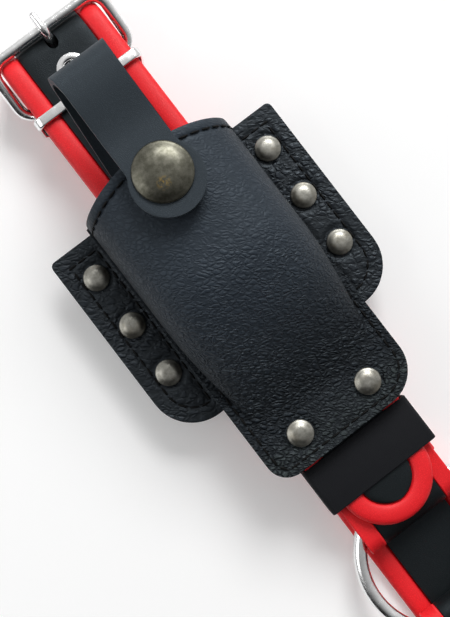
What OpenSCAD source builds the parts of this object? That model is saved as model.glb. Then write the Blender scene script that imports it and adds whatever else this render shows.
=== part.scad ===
// Buckled leather arm band with a slide-on snap pouch, closed and lying flat.
// Millimetres. X runs across the band, +Y along it to the buckle, +Z up.
// The origin lies under the middle pair of wing rivets, on the face that rests on a table.

/* [Band] */
// Width of the black leather between the two piped edges
strap_w = 19.6; // [17:0.2:22]
// Thickness of each of the two leathers of a strap
strap_leather_t = 1.4; // [1.2:0.1:1.7]
// Thickness of the tape between the two leathers
tape_t = 1.2; // [1:0.1:1.5]
// Width of the rolled piping along each edge
piping_w = 5.7; // [5:0.1:6.2]
// Depth of the piping's sewn tongue between the leathers
tongue_w = 3; // [2:0.5:4]
// Distance from the middle rivets to the middle of the bend at the buckle
buckle_bend_y = 69.5; // [62:0.5:78]
// Distance from the middle rivets to the centre of the O-ring
ring_y = 96; // [90:1:110]
// Distance from the O-ring's centre to the fold at the far end of the band
far_bend = 35; // [33:1:45]
// Distance from the middle rivets to the start of the tail's taper
taper_y = 56; // [52:1:57]
// Length of the tail's taper
taper_l = 14.5; // [12:0.5:16]
// Half width of the black leather at the tail's round tip
tip_r = 7.1; // [6:0.1:8]

/* [Buckle] */
// Diameter of the buckle's wire
buckle_wire_d = 3; // [2.6:0.1:3.4]
// Inner width of the buckle
buckle_w = 32.2; // [32:0.2:36]
// Distance from the heel bar to the middle of the bend
heel_y = 9.5; // [8.5:0.5:11.5]
// Distance from the middle of the bend to the outer bar
outer_bar_y = 6.5; // [5.5:0.5:8.5]
// Radius of the buckle's corners, at the middle of the wire
buckle_corner_r = 4.5; // [3:0.5:6]
// Diameter of the prong
prong_d = 2.4; // [2:0.1:2.8]
// Thickness of the folded leather that holds the heel bar and the ring
fold_t = 1.1; // [0.9:0.1:1.1]
// Length of the lap of the fold at the buckle
chape_l = 22; // [20:1:26]
// Width of the metal keeper along the band
keeper_l = 2.8; // [2.4:0.2:4]
// Thickness of the metal keeper
keeper_t = 1.1; // [0.8:0.1:1.1]
// Distance from the metal keeper to the middle of the bend
keeper_y = 13.5; // [13:0.5:15.5]

/* [Eyelets] */
// Outer diameter of an eyelet
eyelet_d = 8.6; // [7:0.2:10]
// Hole of an eyelet
eyelet_bore = 4.6; // [4:0.2:5]
// Distance from the prong's eyelet to the middle of the bend
eyelet_y = 6.9; // [5.5:0.1:7.5]
// Distance between eyelets
eyelet_pitch = 20; // [18:0.5:22]
// Number of eyelets
eyelet_count = 5; // [2:1:5]

/* [Ring] */
// Radius of the O-ring at the middle of its wire
ring_r = 21; // [19:0.5:21.5]
// Diameter of the O-ring's wire
ring_wire_d = 3.8; // [3:0.1:3.8]
// Half width of the folds round the ring, with their piping
ring_fold_half = 14.6; // [13:0.2:15]
// Length of the woven keeper along the band
woven_keeper_l = 13.5; // [10:0.5:15]
// Distance from the ring's centre to the middle of the woven keeper
woven_keeper_y = 32.25; // [31.5:0.25:34]
// Thickness of the woven keeper
woven_keeper_t = 0.8; // [0.6:0.1:0.9]

/* [Saddle] */
// Width of the saddle panel over both wings
panel_w = 72; // [66:1:80]
// Reach of the saddle panel from the middle rivets towards the ring
panel_front = 32; // [28:0.5:36]
// Reach of the saddle panel from the middle rivets towards the buckle
panel_rear = 25.5; // [22:0.5:30]
// Thickness of the saddle panel and of the tunnel's back
panel_t = 1.6; // [1.2:0.1:1.8]
// Corner radius of the wings on the ring's side
wing_front_r = 12; // [6:1:14]
// Corner radius of the wings on the buckle's side
wing_rear_r = 1.5; // [1:0.5:6]
// Length across the band of each wing's slope
wing_slope = 7; // [5:0.5:9]
// Distance between the two rows of wing rivets
wing_rivet_span = 56.4; // [54:0.2:60]
// Distance between rivets in a row
wing_rivet_pitch = 15.5; // [12:0.5:18]

/* [Pouch] */
// Width of the pouch
pouch_w = 45.4; // [42:0.2:50]
// Distance from the middle rivets to the bottom edge of the pouch
pouch_bottom = 56; // [54:0.5:60]
// Distance from the middle rivets to the side corners of the mouth
pouch_mouth = 25.8; // [24:0.2:30]
// How far the front rim bows out past the mouth's corners
rim_bow = 4.7; // [2:0.1:6]
// Depth of the pouch inside
pouch_depth = 17.7; // [14:0.1:24]
// Thickness of the front leather
front_t = 1.6; // [1.2:0.1:2]
// Thickness of the back leather
back_t = 1.4; // [1.2:0.1:2]
// Corner radius at the pouch's bottom
pouch_corner_r = 6; // [4:0.5:9]
// Length of the flat sewn flange at the bottom
flange_l = 13; // [11:0.5:16]
// Distance from the flange to where the pouch has its full depth
slope_l = 42; // [30:1:50]
// Distance between the two bottom rivets
bottom_rivet_span = 21.6; // [16:0.2:28]
// Distance from the bottom edge to the bottom rivets
bottom_rivet_inset = 8; // [7:0.5:9]

/* [Closure] */
// Width of the closure strap at its fold and flap
flap_w = 15.8; // [14:0.2:16]
// Width of the closure strap at its root
closure_root_w = 20; // [18:0.5:24]
// Thickness of the closure strap
closure_t = 2; // [1.6:0.1:2.2]
// Place of the snap along the band
snap_y = 22.3; // [20:0.1:24]
// Radius of the flap's round tip
flap_tip_r = 8.7; // [8.5:0.1:10]
// Diameter of the snap cap
snap_cap_d = 15; // [12:0.5:16]
// Length of the closure's rising leaf
rise_l = 28; // [24:0.5:32]
// Height of the snap between the front leather and the flap
snap_h = 3.2; // [3:0.1:4]
// Height of the snap cap
snap_cap_h = 2.2; // [1.6:0.1:3]
// Angle of the closure's rising leaf
rise_angle = 34; // [30:1:38]
// Radius of the closure's fold at the middle of its leather
fold_r = 4.2; // [3.5:0.1:5]

/* [Rivets] */
// Diameter of a rivet cap
rivet_cap_d = 7; // [6:0.1:8]
// Height of a rivet cap
rivet_cap_h = 1.5; // [1:0.1:2]
// Diameter of a rivet post
rivet_post_d = 2.4; // [2:0.1:3]
// Thickness of a rivet's flat back
rivet_back_t = 0.8; // [0.5:0.1:0.8]
// Diameter of a rivet's flat back
rivet_back_d = 6.4; // [5:0.1:7]

/* [Clearances] */
// Gap between layers that slide on each other
slide_gap = 0.5; // [0.4:0.05:0.7]
// Gap between the tail and the saddle panel over it
tunnel_gap = 0.4; // [0.35:0.05:0.6]
// Gap beside the band inside the tunnel and the keepers
side_gap = 0.4; // [0.3:0.05:0.7]
// Gap round the ring and the heel bar inside their folds
bar_gap = 0.1; // [0.05:0.05:0.1]
// Gap between a sewn-in piece and the leather beside it
seam_gap = 0.05; // [0.02:0.01:0.1]
// Gap between the snap's stud and its socket
snap_gap = 0.5; // [0.4:0.05:0.7]

/* [Hidden] */
$fn = 48;
FINE = 96;
BEND_STEPS = 10;   // rings in each half turn of swept piping

// Levels of the stack, from the table up
strap_t = 2 * strap_leather_t + tape_t;
band_half = strap_w / 2 + piping_w;
back_z = strap_t + slide_gap;
strap_z = back_z + panel_t + slide_gap;
strap_mid_z = strap_z + strap_t / 2;
fold_in_r = strap_t / 2;
fold_out_r = fold_in_r + fold_t;
lap_gap = 0.2;
tail_z = strap_z + strap_t + fold_t + lap_gap;
tail_top = tail_z + strap_t;
saddle_z = tail_top + tunnel_gap;
pouch_z = saddle_z + panel_t;
inside_z = pouch_z + back_t;
crown_z = inside_z + pouch_depth + front_t;
wing_z = (saddle_z + back_z + panel_t) / 2;

// Bends of the tail strap
near_bend_r = tail_top / 2;
far_bend_y = -ring_y - far_bend;
far_bend_r = (strap_z + strap_t) / 2;
ring_wire_r = ring_wire_d / 2;
strap_end_gap = 0.5;
ring_gap_y = ring_r + ring_wire_r + strap_end_gap;
ring_fold_y = sqrt(pow(ring_r - ring_wire_r, 2) - pow(ring_fold_half, 2)) + fold_in_r - 2 * bar_gap;
ring_lap = 22;
far_lap = far_bend - ring_fold_y - 1;
piping_lap_less = 8;
tip_y = -taper_y - taper_l;

// Buckle: its places along the band, then the prong's line in the plane of Y and Z
heel_at = buckle_bend_y - heel_y;
outer_bar_at = buckle_bend_y + outer_bar_y;
keeper_at = buckle_bend_y - keeper_y;
eyelet_at = buckle_bend_y - eyelet_y;
wire_r = buckle_wire_d / 2;
bar_rise = near_bend_r + wire_r + slide_gap / 2;
outer_bar_z = near_bend_r + sqrt(pow(bar_rise, 2) - pow(outer_bar_y, 2));
frame_tilt = atan2(outer_bar_z - strap_mid_z, heel_y + outer_bar_y);
frame_len = norm([heel_y + outer_bar_y, outer_bar_z - strap_mid_z]);
frame_half = buckle_w / 2 + wire_r;
prong_r = prong_d / 2;
prong_bend_r = 2.2;
prong_low_y = 0.8;
prong_low_rise = 3.58;
prong_low = [buckle_bend_y - prong_low_y, strap_mid_z + prong_low_rise];
prong_over_r = wire_r + prong_r + seam_gap;
prong_span = [outer_bar_at, outer_bar_z] - prong_low;
prong_angle = atan2(prong_span[1], prong_span[0])
    + asin((prong_bend_r + prong_over_r) / norm(prong_span));
prong_start_angle = 8;
prong_overhang = 4.4;
prong_slot_side = 0.3;
prong_slot_ends = 0.7;
prong_slot_back = 0.5;
prong_slot_start = 1.8;
prong_slot_h = 10;
chape_slot_side = 0.6;

// Rivets and holes
post_hole_r = rivet_post_d / 2 + seam_gap;
wing_rivet_x = wing_rivet_span / 2;
bottom_rivet_y = -pouch_bottom + bottom_rivet_inset;
rivet_head_d = 6;
rivet_head_t = 0.5;
chape_rivet_back = 18.5;
chape_rivet_x = 5;
ring_rivet_inset = 6.5;
ring_rivet_y = ring_gap_y + ring_rivet_inset;
eyelet_flange_t = 0.3;
eyelet_wall = 0.5;
eyelet_barrel_r = eyelet_bore / 2 + eyelet_wall;

// Closure strap, drawn in the plane of Y and Z
closure_mid = closure_t / 2;
root_y0 = 8;
root_y1 = 24;
root_bend_r = 12;
closure_rivet_x = 5;
seam_flat = 0.6;
flap_z = crown_z + snap_h;
rise_start = [root_y1 + root_bend_r * sin(rise_angle),
              inside_z + closure_mid + root_bend_r * (1 - cos(rise_angle))];
rise_end = rise_start + rise_l * [cos(rise_angle), sin(rise_angle)];
fold_mid = rise_end + fold_r * [-sin(rise_angle), cos(rise_angle)];
hinge_y = fold_mid[0] - seam_flat;
hinge_z = fold_mid[1] + fold_r + closure_mid;
flap_flat_past = 2;
flap_flat_y = snap_y + flap_tip_r + flap_flat_past;
flap_drop = hinge_z - closure_mid - (flap_z + closure_mid);

// Snap: a post through each leather, a disc on its back, and a stud that the socket grips
snap_post_r = 2;
stud_disc_d = 9;
stud_disc_t = 0.7;
stud_base_d = 10;
stud_base_t = 0.8;
knob_r = 2.6;
knob_neck_r = 2.2;
knob_neck_h = 1.6;
knob_flare_h = 0.5;
knob_top_h = 0.6;
socket_d = 11.6;
socket_lift = 1.2;

BLACK = [0.08, 0.09, 0.1];
SOFT_BLACK = [0.13, 0.14, 0.16];
RED = [0.85, 0.1, 0.13];
NICKEL = [0.78, 0.78, 0.76];
ANTIQUE = [0.45, 0.43, 0.38];

// ---- shared shapes ----

// A plate's outline, with one corner radius at each end
module rounded_plate(half_w, y0, y1, r0, r1) {
    translate([-half_w, y0 + r0]) square([2 * half_w, y1 - y0 - r0 - r1]);
    translate([-half_w + r0, y0]) square([2 * (half_w - r0), r0]);
    translate([-half_w + r1, y1 - r1]) square([2 * (half_w - r1), r1]);
    for (s = [-1, 1]) {
        translate([s * (half_w - r0), y0 + r0]) circle(r0);
        translate([s * (half_w - r1), y1 - r1]) circle(r1);
    }
}

// Draws children of the Y-Z plane as a bar of this width across the band
module across(width) {
    translate([-width / 2, 0, 0]) rotate([90, 0, 90]) linear_extrude(width) children();
}

// A domed cap on its own flat face
module domed_cap(d, h) {
    rim = 0.35 * h;
    dome_r = (pow(d / 2, 2) + pow(h - rim, 2)) / (2 * (h - rim));
    cylinder(d = d, h = rim, $fn = FINE);
    intersection() {
        translate([0, 0, h - dome_r]) sphere(dome_r, $fn = FINE);
        translate([0, 0, rim]) cylinder(d = d, h = h, $fn = FINE);
    }
}

// Places of the six wing rivets, and of the two at the pouch's bottom
module at_wing_rivets() {
    for (s = [-1, 1], row = [-1, 0, 1])
        translate([s * wing_rivet_x, row * wing_rivet_pitch, 0]) children();
}
module at_bottom_rivets() {
    for (s = [-1, 1]) translate([s * bottom_rivet_span / 2, bottom_rivet_y, 0]) children();
}

// A post from z0 up to z1, with a flat back under it
module post_with_back(z0, z1) {
    translate([0, 0, z0 - rivet_back_t]) cylinder(d = rivet_back_d, h = rivet_back_t);
    translate([0, 0, z0]) cylinder(d = rivet_post_d, h = z1 - z0);
}

// ---- pouch ----

module saddle_side(z_mid, z_wing) {
    x1 = band_half + 2 * side_gap;
    x2 = x1 + wing_slope;
    half = panel_w / 2;
    polygon([[-half, z_wing], [-x2, z_wing], [-x1, z_mid], [x1, z_mid], [x2, z_wing],
             [half, z_wing], [half, z_wing + panel_t], [x2, z_wing + panel_t],
             [x1, z_mid + panel_t], [-x1, z_mid + panel_t], [-x2, z_wing + panel_t],
             [-half, z_wing + panel_t]]);
}

// One leather of the saddle: flat over the band, with wings at both sides
module winged_panel(z_mid, z_wing) {
    difference() {
        intersection() {
            translate([0, panel_rear, 0]) rotate([90, 0, 0])
                linear_extrude(panel_front + panel_rear) saddle_side(z_mid, z_wing);
            linear_extrude(crown_z)
                rounded_plate(panel_w / 2, -panel_front, panel_rear, wing_front_r, wing_rear_r);
        }
        at_wing_rivets() cylinder(r = post_hole_r, h = crown_z);
    }
}

module saddle_panel() { color(BLACK) winged_panel(saddle_z, wing_z); }
module tunnel_back() { color(BLACK) winged_panel(back_z, wing_z - panel_t); }

module wing_rivet_caps() {
    color(ANTIQUE) at_wing_rivets()
        translate([0, 0, wing_z + panel_t]) domed_cap(rivet_cap_d, rivet_cap_h);
}
module wing_rivet_posts() {
    color(ANTIQUE) at_wing_rivets() post_with_back(wing_z - panel_t, wing_z + panel_t);
}
module bottom_rivet_caps() {
    color(ANTIQUE) at_bottom_rivets()
        translate([0, 0, inside_z + front_t]) domed_cap(rivet_cap_d, rivet_cap_h);
}
module bottom_rivet_posts() {
    color(ANTIQUE) at_bottom_rivets() post_with_back(pouch_z, inside_z + front_t);
}

module pouch_back() {
    color(BLACK) difference() {
        translate([0, 0, pouch_z]) linear_extrude(back_t)
            rounded_plate(pouch_w / 2, -pouch_bottom, pouch_mouth, pouch_corner_r, 1);
        at_bottom_rivets() cylinder(r = post_hole_r, h = crown_z);
        at_closure_rivets() cylinder(r = post_hole_r, h = crown_z);
    }
}

// The front is a loft of arches. Each arch stands on a narrow brim, and the arches sink
// into the flat flange at the bottom. Where the arch has a height, the inside is hollow.
ARCH = 18;          // steps across an arch
SQUARENESS = 2.7;   // exponent of the arch's superellipse
flange_y = -pouch_bottom + flange_l;
full_y = flange_y + slope_l;
brim_wide = 5;
brim_thin = 0.6;

hollow_ys = [for (k = [0 : 12]) pouch_mouth + (flange_y - pouch_mouth) * pow(k / 12, 0.9)];
corner_ys = [for (a = [0 : 18 : 90]) -pouch_bottom + pouch_corner_r * (1 - sin(a))];
flange_ys = [for (y = corner_ys) if (y < flange_y - 1) y];
front_ys = concat(hollow_ys, flange_ys);
hollow_last = len(hollow_ys) - 1;
front_last = len(front_ys) - 1;

function rise(u) = pow(sin(90 * min(1, max(0, u))), 1.5);
function arch_h(y) = pouch_depth * rise((y - flange_y) / slope_l);
function front_half(y) =
    let (over = max(0, -pouch_bottom + pouch_corner_r - y))
    pouch_w / 2 - pouch_corner_r + sqrt(pow(pouch_corner_r, 2) - pow(over, 2));
function brim(y) = brim_thin + (brim_wide - brim_thin) * (1 - rise((y - flange_y + 6) / slope_l));
function power(v, e) = sign(v) * pow(abs(v), e);
function arch_x(a) = -power(cos(a), 2 / SQUARENESS);
function arch_z(a) = power(sin(a), 2 / SQUARENESS);
function bow(y, x) =
    let (reach = (y - flange_y) / (pouch_mouth - flange_y))
    rim_bow * (1 - pow(x / (pouch_w / 2), 2)) * pow(reach, 3);
function rim_y(y, x) = y > flange_y ? y + bow(y, x) : y;

// Outer arch: brim corner, arch, brim corner, from left to right
function outer_arch(y) =
    let (half = front_half(y), leg = half - brim(y), top = inside_z + front_t)
    concat([[-half, inside_z], [-half, top]],
           [for (j = [0 : ARCH]) [leg * arch_x(180 * j / ARCH), top + arch_h(y) * arch_z(180 * j / ARCH)]],
           [[half, top], [half, inside_z]]);
function inner_arch(y) =
    let (leg = front_half(y) - brim(y) - front_t)
    [for (j = [0 : ARCH]) [leg * arch_x(180 * j / ARCH), inside_z + arch_h(y) * arch_z(180 * j / ARCH)]];
function place(points, y) = [for (p = points) [p[0], rim_y(y, p[0]), p[1]]];

module pouch_front_shell() {
    n_out = ARCH + 5;
    n_in = ARCH + 1;
    in0 = (front_last + 1) * n_out;
    points = concat([for (y = front_ys) each place(outer_arch(y), y)],
                    [for (y = hollow_ys) each place(inner_arch(y), y)]);
    skin = [for (i = [0 : front_last - 1], j = [0 : n_out - 2])
        let (a = i * n_out + j) each [[a, a + 1, a + n_out + 1], [a, a + n_out + 1, a + n_out]]];
    lining = [for (i = [0 : hollow_last - 1], j = [0 : n_in - 2])
        let (a = in0 + i * n_in + j) each [[a, a + n_in + 1, a + 1], [a, a + n_in, a + n_in + 1]]];
    feet = [for (i = [0 : hollow_last - 1])
        let (o = i * n_out, p = in0 + i * n_in) each [
            [o, o + n_out, p + n_in, p],
            [o + n_out - 1, p + n_in - 1, p + 2 * n_in - 1, o + 2 * n_out - 1]]];
    heel = hollow_last * n_out;
    heel_in = in0 + hollow_last * n_in;
    sole = concat(
        [concat([heel, heel + n_out, heel + 2 * n_out - 1, heel + n_out - 1],
                [for (j = [n_in - 1 : -1 : 0]) heel_in + j])],
        [for (i = [hollow_last + 1 : front_last - 1])
            [i * n_out, (i + 1) * n_out, (i + 1) * n_out + n_out - 1, i * n_out + n_out - 1]]);
    rim = concat(
        [[0, in0, 1], [1, in0, 2]],
        [for (j = [0 : n_in - 2]) each [[j + 2, in0 + j, j + 3], [j + 3, in0 + j, in0 + j + 1]]],
        [[n_out - 3, in0 + n_in - 1, n_out - 2], [n_out - 2, in0 + n_in - 1, n_out - 1]]);
    last = [[for (j = [0 : n_out - 1]) front_last * n_out + j]];
    polyhedron(points, concat(skin, lining, feet, sole, rim, last), convexity = 4);
}

module pouch_front() {
    // A resize to no new size keeps the punched loft one mesh
    color(SOFT_BLACK) resize([0, 0, 0]) difference() {
        pouch_front_shell();
        translate([0, snap_y, inside_z + pouch_depth / 2])
            cylinder(r = snap_post_r + seam_gap, h = crown_z);
        at_bottom_rivets() cylinder(r = post_hole_r, h = crown_z);
    }
}

// ---- closure strap and snap ----

// A line of points thickened by half_t to both sides, as one closed outline
function normals(p) = [for (i = [0 : len(p) - 1])
    let (a = p[max(0, i - 1)], b = p[min(len(p) - 1, i + 1)], d = (b - a) / norm(b - a)) [-d[1], d[0]]];
module ribbon(p, half_t) {
    n = normals(p);
    last = len(p) - 1;
    polygon(concat([for (i = [0 : last]) p[i] + half_t * n[i]],
                   [for (i = [last : -1 : 0]) p[i] - half_t * n[i]]));
}

module at_closure_rivets() {
    for (s = [-1, 1]) translate([s * closure_rivet_x, (root_y0 + root_y1) / 2, 0]) children();
}

root_line = concat(
    [[root_y0, inside_z + closure_mid], [root_y1, inside_z + closure_mid]],
    [for (a = [rise_angle / 6 : rise_angle / 6 : rise_angle]) [root_y1, inside_z + closure_mid + root_bend_r]
        + root_bend_r * [sin(a), -cos(a)]],
    [for (k = [0 : 12]) fold_mid + fold_r * [sin(rise_angle + (180 - rise_angle) * k / 12),
                                             -cos(rise_angle + (180 - rise_angle) * k / 12)]],
    [[hinge_y, hinge_z - closure_mid]]);

module closure_root() {
    wide = closure_root_w / 2;
    narrow = flap_w / 2;
    color(BLACK) difference() {
        intersection() {
            across(closure_root_w) ribbon(root_line, closure_mid);
            linear_extrude(2 * crown_z) polygon([[-wide, root_y0], [-wide, root_y1],
                [-narrow, rise_end[0]], [-narrow, rise_end[0] + rise_l], [narrow, rise_end[0] + rise_l],
                [narrow, rise_end[0]], [wide, root_y1], [wide, root_y0]]);
        }
        at_closure_rivets() cylinder(r = post_hole_r, h = inside_z + 2 * closure_t);
    }
}

module closure_rivets() {
    color(ANTIQUE) at_closure_rivets() {
        translate([0, 0, pouch_z]) cylinder(d = rivet_post_d, h = back_t + closure_t);
        translate([0, 0, inside_z + closure_t]) cylinder(d = rivet_head_d, h = rivet_back_t);
    }
}

// The flap runs down from the fold in an easy S and lies flat under the snap
flap_line = concat(
    [[hinge_y, hinge_z - closure_mid]],
    [for (k = [0 : 8]) let (u = k / 8, y0 = hinge_y - seam_flat)
        [y0 + (flap_flat_y - y0) * u, flap_z + closure_mid + flap_drop * (1 + cos(180 * u)) / 2]],
    [[snap_y - flap_tip_r - closure_t, flap_z + closure_mid]]);

module closure_flap() {
    color(BLACK) difference() {
        intersection() {
            across(2 * flap_tip_r) ribbon(flap_line, closure_mid);
            linear_extrude(2 * crown_z) {
                translate([-flap_w / 2, snap_y]) square([flap_w, hinge_y - snap_y]);
                translate([0, snap_y]) circle(flap_tip_r, $fn = FINE);
            }
        }
        translate([0, snap_y, crown_z]) cylinder(r = snap_post_r + seam_gap, h = snap_h + 2 * closure_t);
    }
}

// The disc inside the pouch sits below the arch, which falls away from its middle
module snap_stud() {
    disc_z = crown_z - front_t - pouch_depth * (1 - arch_z(90 - 180 / ARCH)) - stud_disc_t;
    flare_z = crown_z + knob_neck_h;
    color(NICKEL) translate([0, snap_y, 0]) {
        translate([0, 0, disc_z]) cylinder(d = stud_disc_d, h = stud_disc_t);
        translate([0, 0, disc_z]) cylinder(r = snap_post_r, h = crown_z + stud_base_t - disc_z);
        translate([0, 0, crown_z]) cylinder(d = stud_base_d, h = stud_base_t);
        translate([0, 0, crown_z]) cylinder(r = knob_neck_r, h = knob_neck_h);
        translate([0, 0, flare_z]) cylinder(r1 = knob_neck_r, r2 = knob_r, h = knob_flare_h);
        translate([0, 0, flare_z + knob_flare_h])
            cylinder(r1 = knob_r, r2 = knob_neck_r - knob_flare_h, h = knob_top_h);
    }
}

module snap_socket() {
    color(NICKEL) translate([0, snap_y, crown_z + socket_lift]) difference() {
        cylinder(d = socket_d, h = snap_h - socket_lift);
        translate([0, 0, -1]) cylinder(r = knob_r + snap_gap, h = 2 * snap_h);
    }
}

module snap_cap() {
    color(ANTIQUE) translate([0, snap_y, flap_z + closure_t]) {
        domed_cap(snap_cap_d, snap_cap_h);
        translate([0, 0, -closure_t]) cylinder(r = snap_post_r, h = closure_t);
    }
}

// ---- band: both straps ----

// One layer of the buckle strap, from the ring to the heel bar. d0 and d1 are depths
// below its top face.
module buckle_strap_layer(d0, d1, width) {
    y0 = -ring_y + ring_gap_y;
    y1 = heel_at - fold_out_r - lap_gap;
    translate([-width / 2, y0, strap_z + strap_t - d1]) cube([width, y1 - y0, d1 - d0]);
}

module at_chape_rivets() {
    for (s = [-1, 1]) translate([s * chape_rivet_x, heel_at - chape_rivet_back, 0]) children();
}
module buckle_strap_holes() {
    at_chape_rivets() cylinder(r = post_hole_r, h = tail_z);
    translate([0, -ring_y + ring_rivet_y, 0]) cylinder(r = post_hole_r, h = tail_z);
}

tape_w = strap_w - 2 * tongue_w - 4 * seam_gap;

module buckle_strap_leather() {
    color(BLACK) difference() {
        buckle_strap_layer(0, strap_leather_t, strap_w);
        buckle_strap_holes();
    }
}
module buckle_strap_lining() {
    color(BLACK) difference() {
        buckle_strap_layer(strap_leather_t + tape_t, strap_t, strap_w);
        buckle_strap_holes();
    }
}
module buckle_strap_tape() {
    color("dimgray") difference() {
        buckle_strap_layer(strap_leather_t, strap_leather_t + tape_t, tape_w);
        buckle_strap_holes();
    }
}

// One layer of the tail strap: from the ring's far side round the far bend, back under
// the whole band, round the bend at the buckle and along the top to the round tip.
// d0 and d1 are depths below the strap's outer face.
module half_bend(y, z, r, width, turn) {
    translate([0, y, z]) rotate([0, 90, 0]) rotate([0, 0, turn])
        rotate_extrude(angle = 180, $fn = FINE)
            translate([r[0], -width / 2]) square([r[1] - r[0], width]);
}
module tail_top_outline(half, inset) {
    round_r = tip_r - inset;
    polygon([[-half, buckle_bend_y], [-half, -taper_y], [-round_r, tip_y], [round_r, tip_y],
             [half, -taper_y], [half, buckle_bend_y]]);
    translate([0, tip_y]) circle(round_r, $fn = FINE);
}
module tail_layer(d0, d1, width, inset) {
    y_stub = -ring_y - ring_gap_y;
    translate([0, 0, tail_top - d1]) linear_extrude(d1 - d0) tail_top_outline(width / 2, inset);
    half_bend(buckle_bend_y, near_bend_r, [near_bend_r - d1, near_bend_r - d0], width, 0);
    translate([-width / 2, far_bend_y, d0]) cube([width, buckle_bend_y - far_bend_y, d1 - d0]);
    half_bend(far_bend_y, far_bend_r, [far_bend_r - d1, far_bend_r - d0], width, 180);
    translate([-width / 2, far_bend_y, 2 * far_bend_r - d1])
        cube([width, y_stub - far_bend_y, d1 - d0]);
}

module at_eyelets() {
    for (k = [0 : eyelet_count - 1]) translate([0, eyelet_at - k * eyelet_pitch, 0]) children();
}

// The prong's slot leans with the prong
prong_line_start = prong_low + prong_bend_r * [sin(prong_angle), -cos(prong_angle)];
module prong_slot() {
    width = prong_d + 2 * prong_slot_side;
    length = prong_d + 2 * prong_slot_ends;
    translate([0, prong_line_start[0], prong_line_start[1]]) rotate([prong_angle - 90, 0, 0])
        translate([-width / 2, -length / 2 - prong_slot_back, -prong_slot_start])
            cube([width, length, prong_slot_h]);
}
module tail_holes() {
    at_eyelets() {
        translate([0, 0, tail_z - 1]) cylinder(r = eyelet_barrel_r + seam_gap, h = strap_t + 2);
        translate([0, 0, tail_z - 1]) cylinder(d = eyelet_d + 2 * seam_gap, h = eyelet_flange_t + 1);
    }
    prong_slot();
    translate([0, -ring_y - ring_rivet_y, strap_z - 1]) cylinder(r = post_hole_r, h = strap_t + 2);
}

module tail_strap_leather() {
    color(BLACK) difference() {
        tail_layer(0, strap_leather_t, strap_w, 0);
        tail_holes();
    }
}
module tail_strap_lining() {
    color(BLACK) difference() {
        tail_layer(strap_leather_t + tape_t, strap_t, strap_w, 0);
        tail_holes();
    }
}
module tail_strap_tape() {
    color("dimgray") difference() {
        tail_layer(strap_leather_t, strap_leather_t + tape_t, tape_w, tongue_w + 2 * seam_gap);
        tail_holes();
    }
}

// Piping: a rolled edge with a tongue that is sewn between the leathers. The outline is
// drawn with its inner edge at 0, and is swept along a line of [point, normal, side].
pipe_round = 1.5;
piping_stop = 6;
pipe_top = strap_t / 2;
pipe_corner = [piping_w - pipe_round, 0];
pipe_side = pipe_top - pipe_round;
tongue_half = tape_t / 2 - seam_gap;
piping_outline = concat(
    [[-tongue_w, -tongue_half], [seam_gap, -tongue_half], [seam_gap, -pipe_top]],
    [for (a = [0 : 30 : 90]) pipe_corner + [pipe_round * sin(a), -pipe_round * cos(a) - pipe_side]],
    [for (a = [90 : -30 : 0]) pipe_corner + [pipe_round * sin(a), pipe_round * cos(a) + pipe_side]],
    [[seam_gap, pipe_top], [seam_gap, tongue_half], [-tongue_w, tongue_half]]);

module swept(stations, outline) {
    n = len(outline);
    last = len(stations) - 1;
    points = [for (s = stations) each [for (q = outline) s[0] + q[0] * s[1] + q[1] * s[2]]];
    sides = [for (i = [0 : last - 1], j = [0 : n - 1])
        let (k = (j + 1) % n) each [[i * n + j, i * n + k, (i + 1) * n + k],
                                    [i * n + j, (i + 1) * n + k, (i + 1) * n + j]]];
    polyhedron(points, concat(sides, [[for (j = [n - 1 : -1 : 0]) j]],
                              [[for (j = [0 : n - 1]) last * n + j]]), convexity = 6);
}

module buckle_strap_piping() {
    y0 = -ring_y + sqrt(pow(ring_r + ring_wire_r, 2) - pow(strap_w / 2 - tongue_w, 2)) + bar_gap;
    y1 = heel_at - piping_stop;
    color(RED) for (s = [0, 1]) mirror([s, 0, 0])
        across_y(y0, y1) translate([strap_w / 2, strap_mid_z]) polygon(piping_outline);
}
module across_y(y0, y1) {
    translate([0, y1, 0]) rotate([90, 0, 0]) linear_extrude(y1 - y0) children();
}

// Stations of the tail's piping on one side, from the ring to the middle of the tip.
// Each is the point on the leather's edge at mid thickness, the way out, and the way up.
mid_d = strap_t / 2;
edge = strap_w / 2;
taper_a = atan2(edge - tip_r, taper_l);
tail_edge = concat(
    [[[edge, -ring_y - ring_gap_y, 2 * far_bend_r - mid_d], [1, 0, 0], [0, 0, 1]]],
    [for (k = [0 : BEND_STEPS]) let (a = 90 + 180 * k / BEND_STEPS, out = [0, cos(a), sin(a)])
        [[edge, far_bend_y, far_bend_r] + (far_bend_r - mid_d) * out, [1, 0, 0], out]],
    [for (k = [0 : BEND_STEPS]) let (a = -90 + 180 * k / BEND_STEPS, out = [0, cos(a), sin(a)])
        [[edge, buckle_bend_y, near_bend_r] + (near_bend_r - mid_d) * out, [1, 0, 0], out]],
    [[[edge, -taper_y, tail_top - mid_d], [1, -tan(taper_a / 2), 0], [0, 0, 1]]],
    [for (a = [0 : 15 : 90]) [[tip_r * cos(a), tip_y - tip_r * sin(a), tail_top - mid_d],
                              [cos(a), -sin(a), 0], [0, 0, 1]]]);
function mirrored(s) = [for (v = s) [-v[0], v[1], v[2]]];

module tail_strap_piping() {
    last = len(tail_edge) - 1;
    other = [for (i = [last - 1 : -1 : 0]) mirrored(tail_edge[i])];
    color(RED) swept(concat(tail_edge, other), piping_outline);
}

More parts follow.
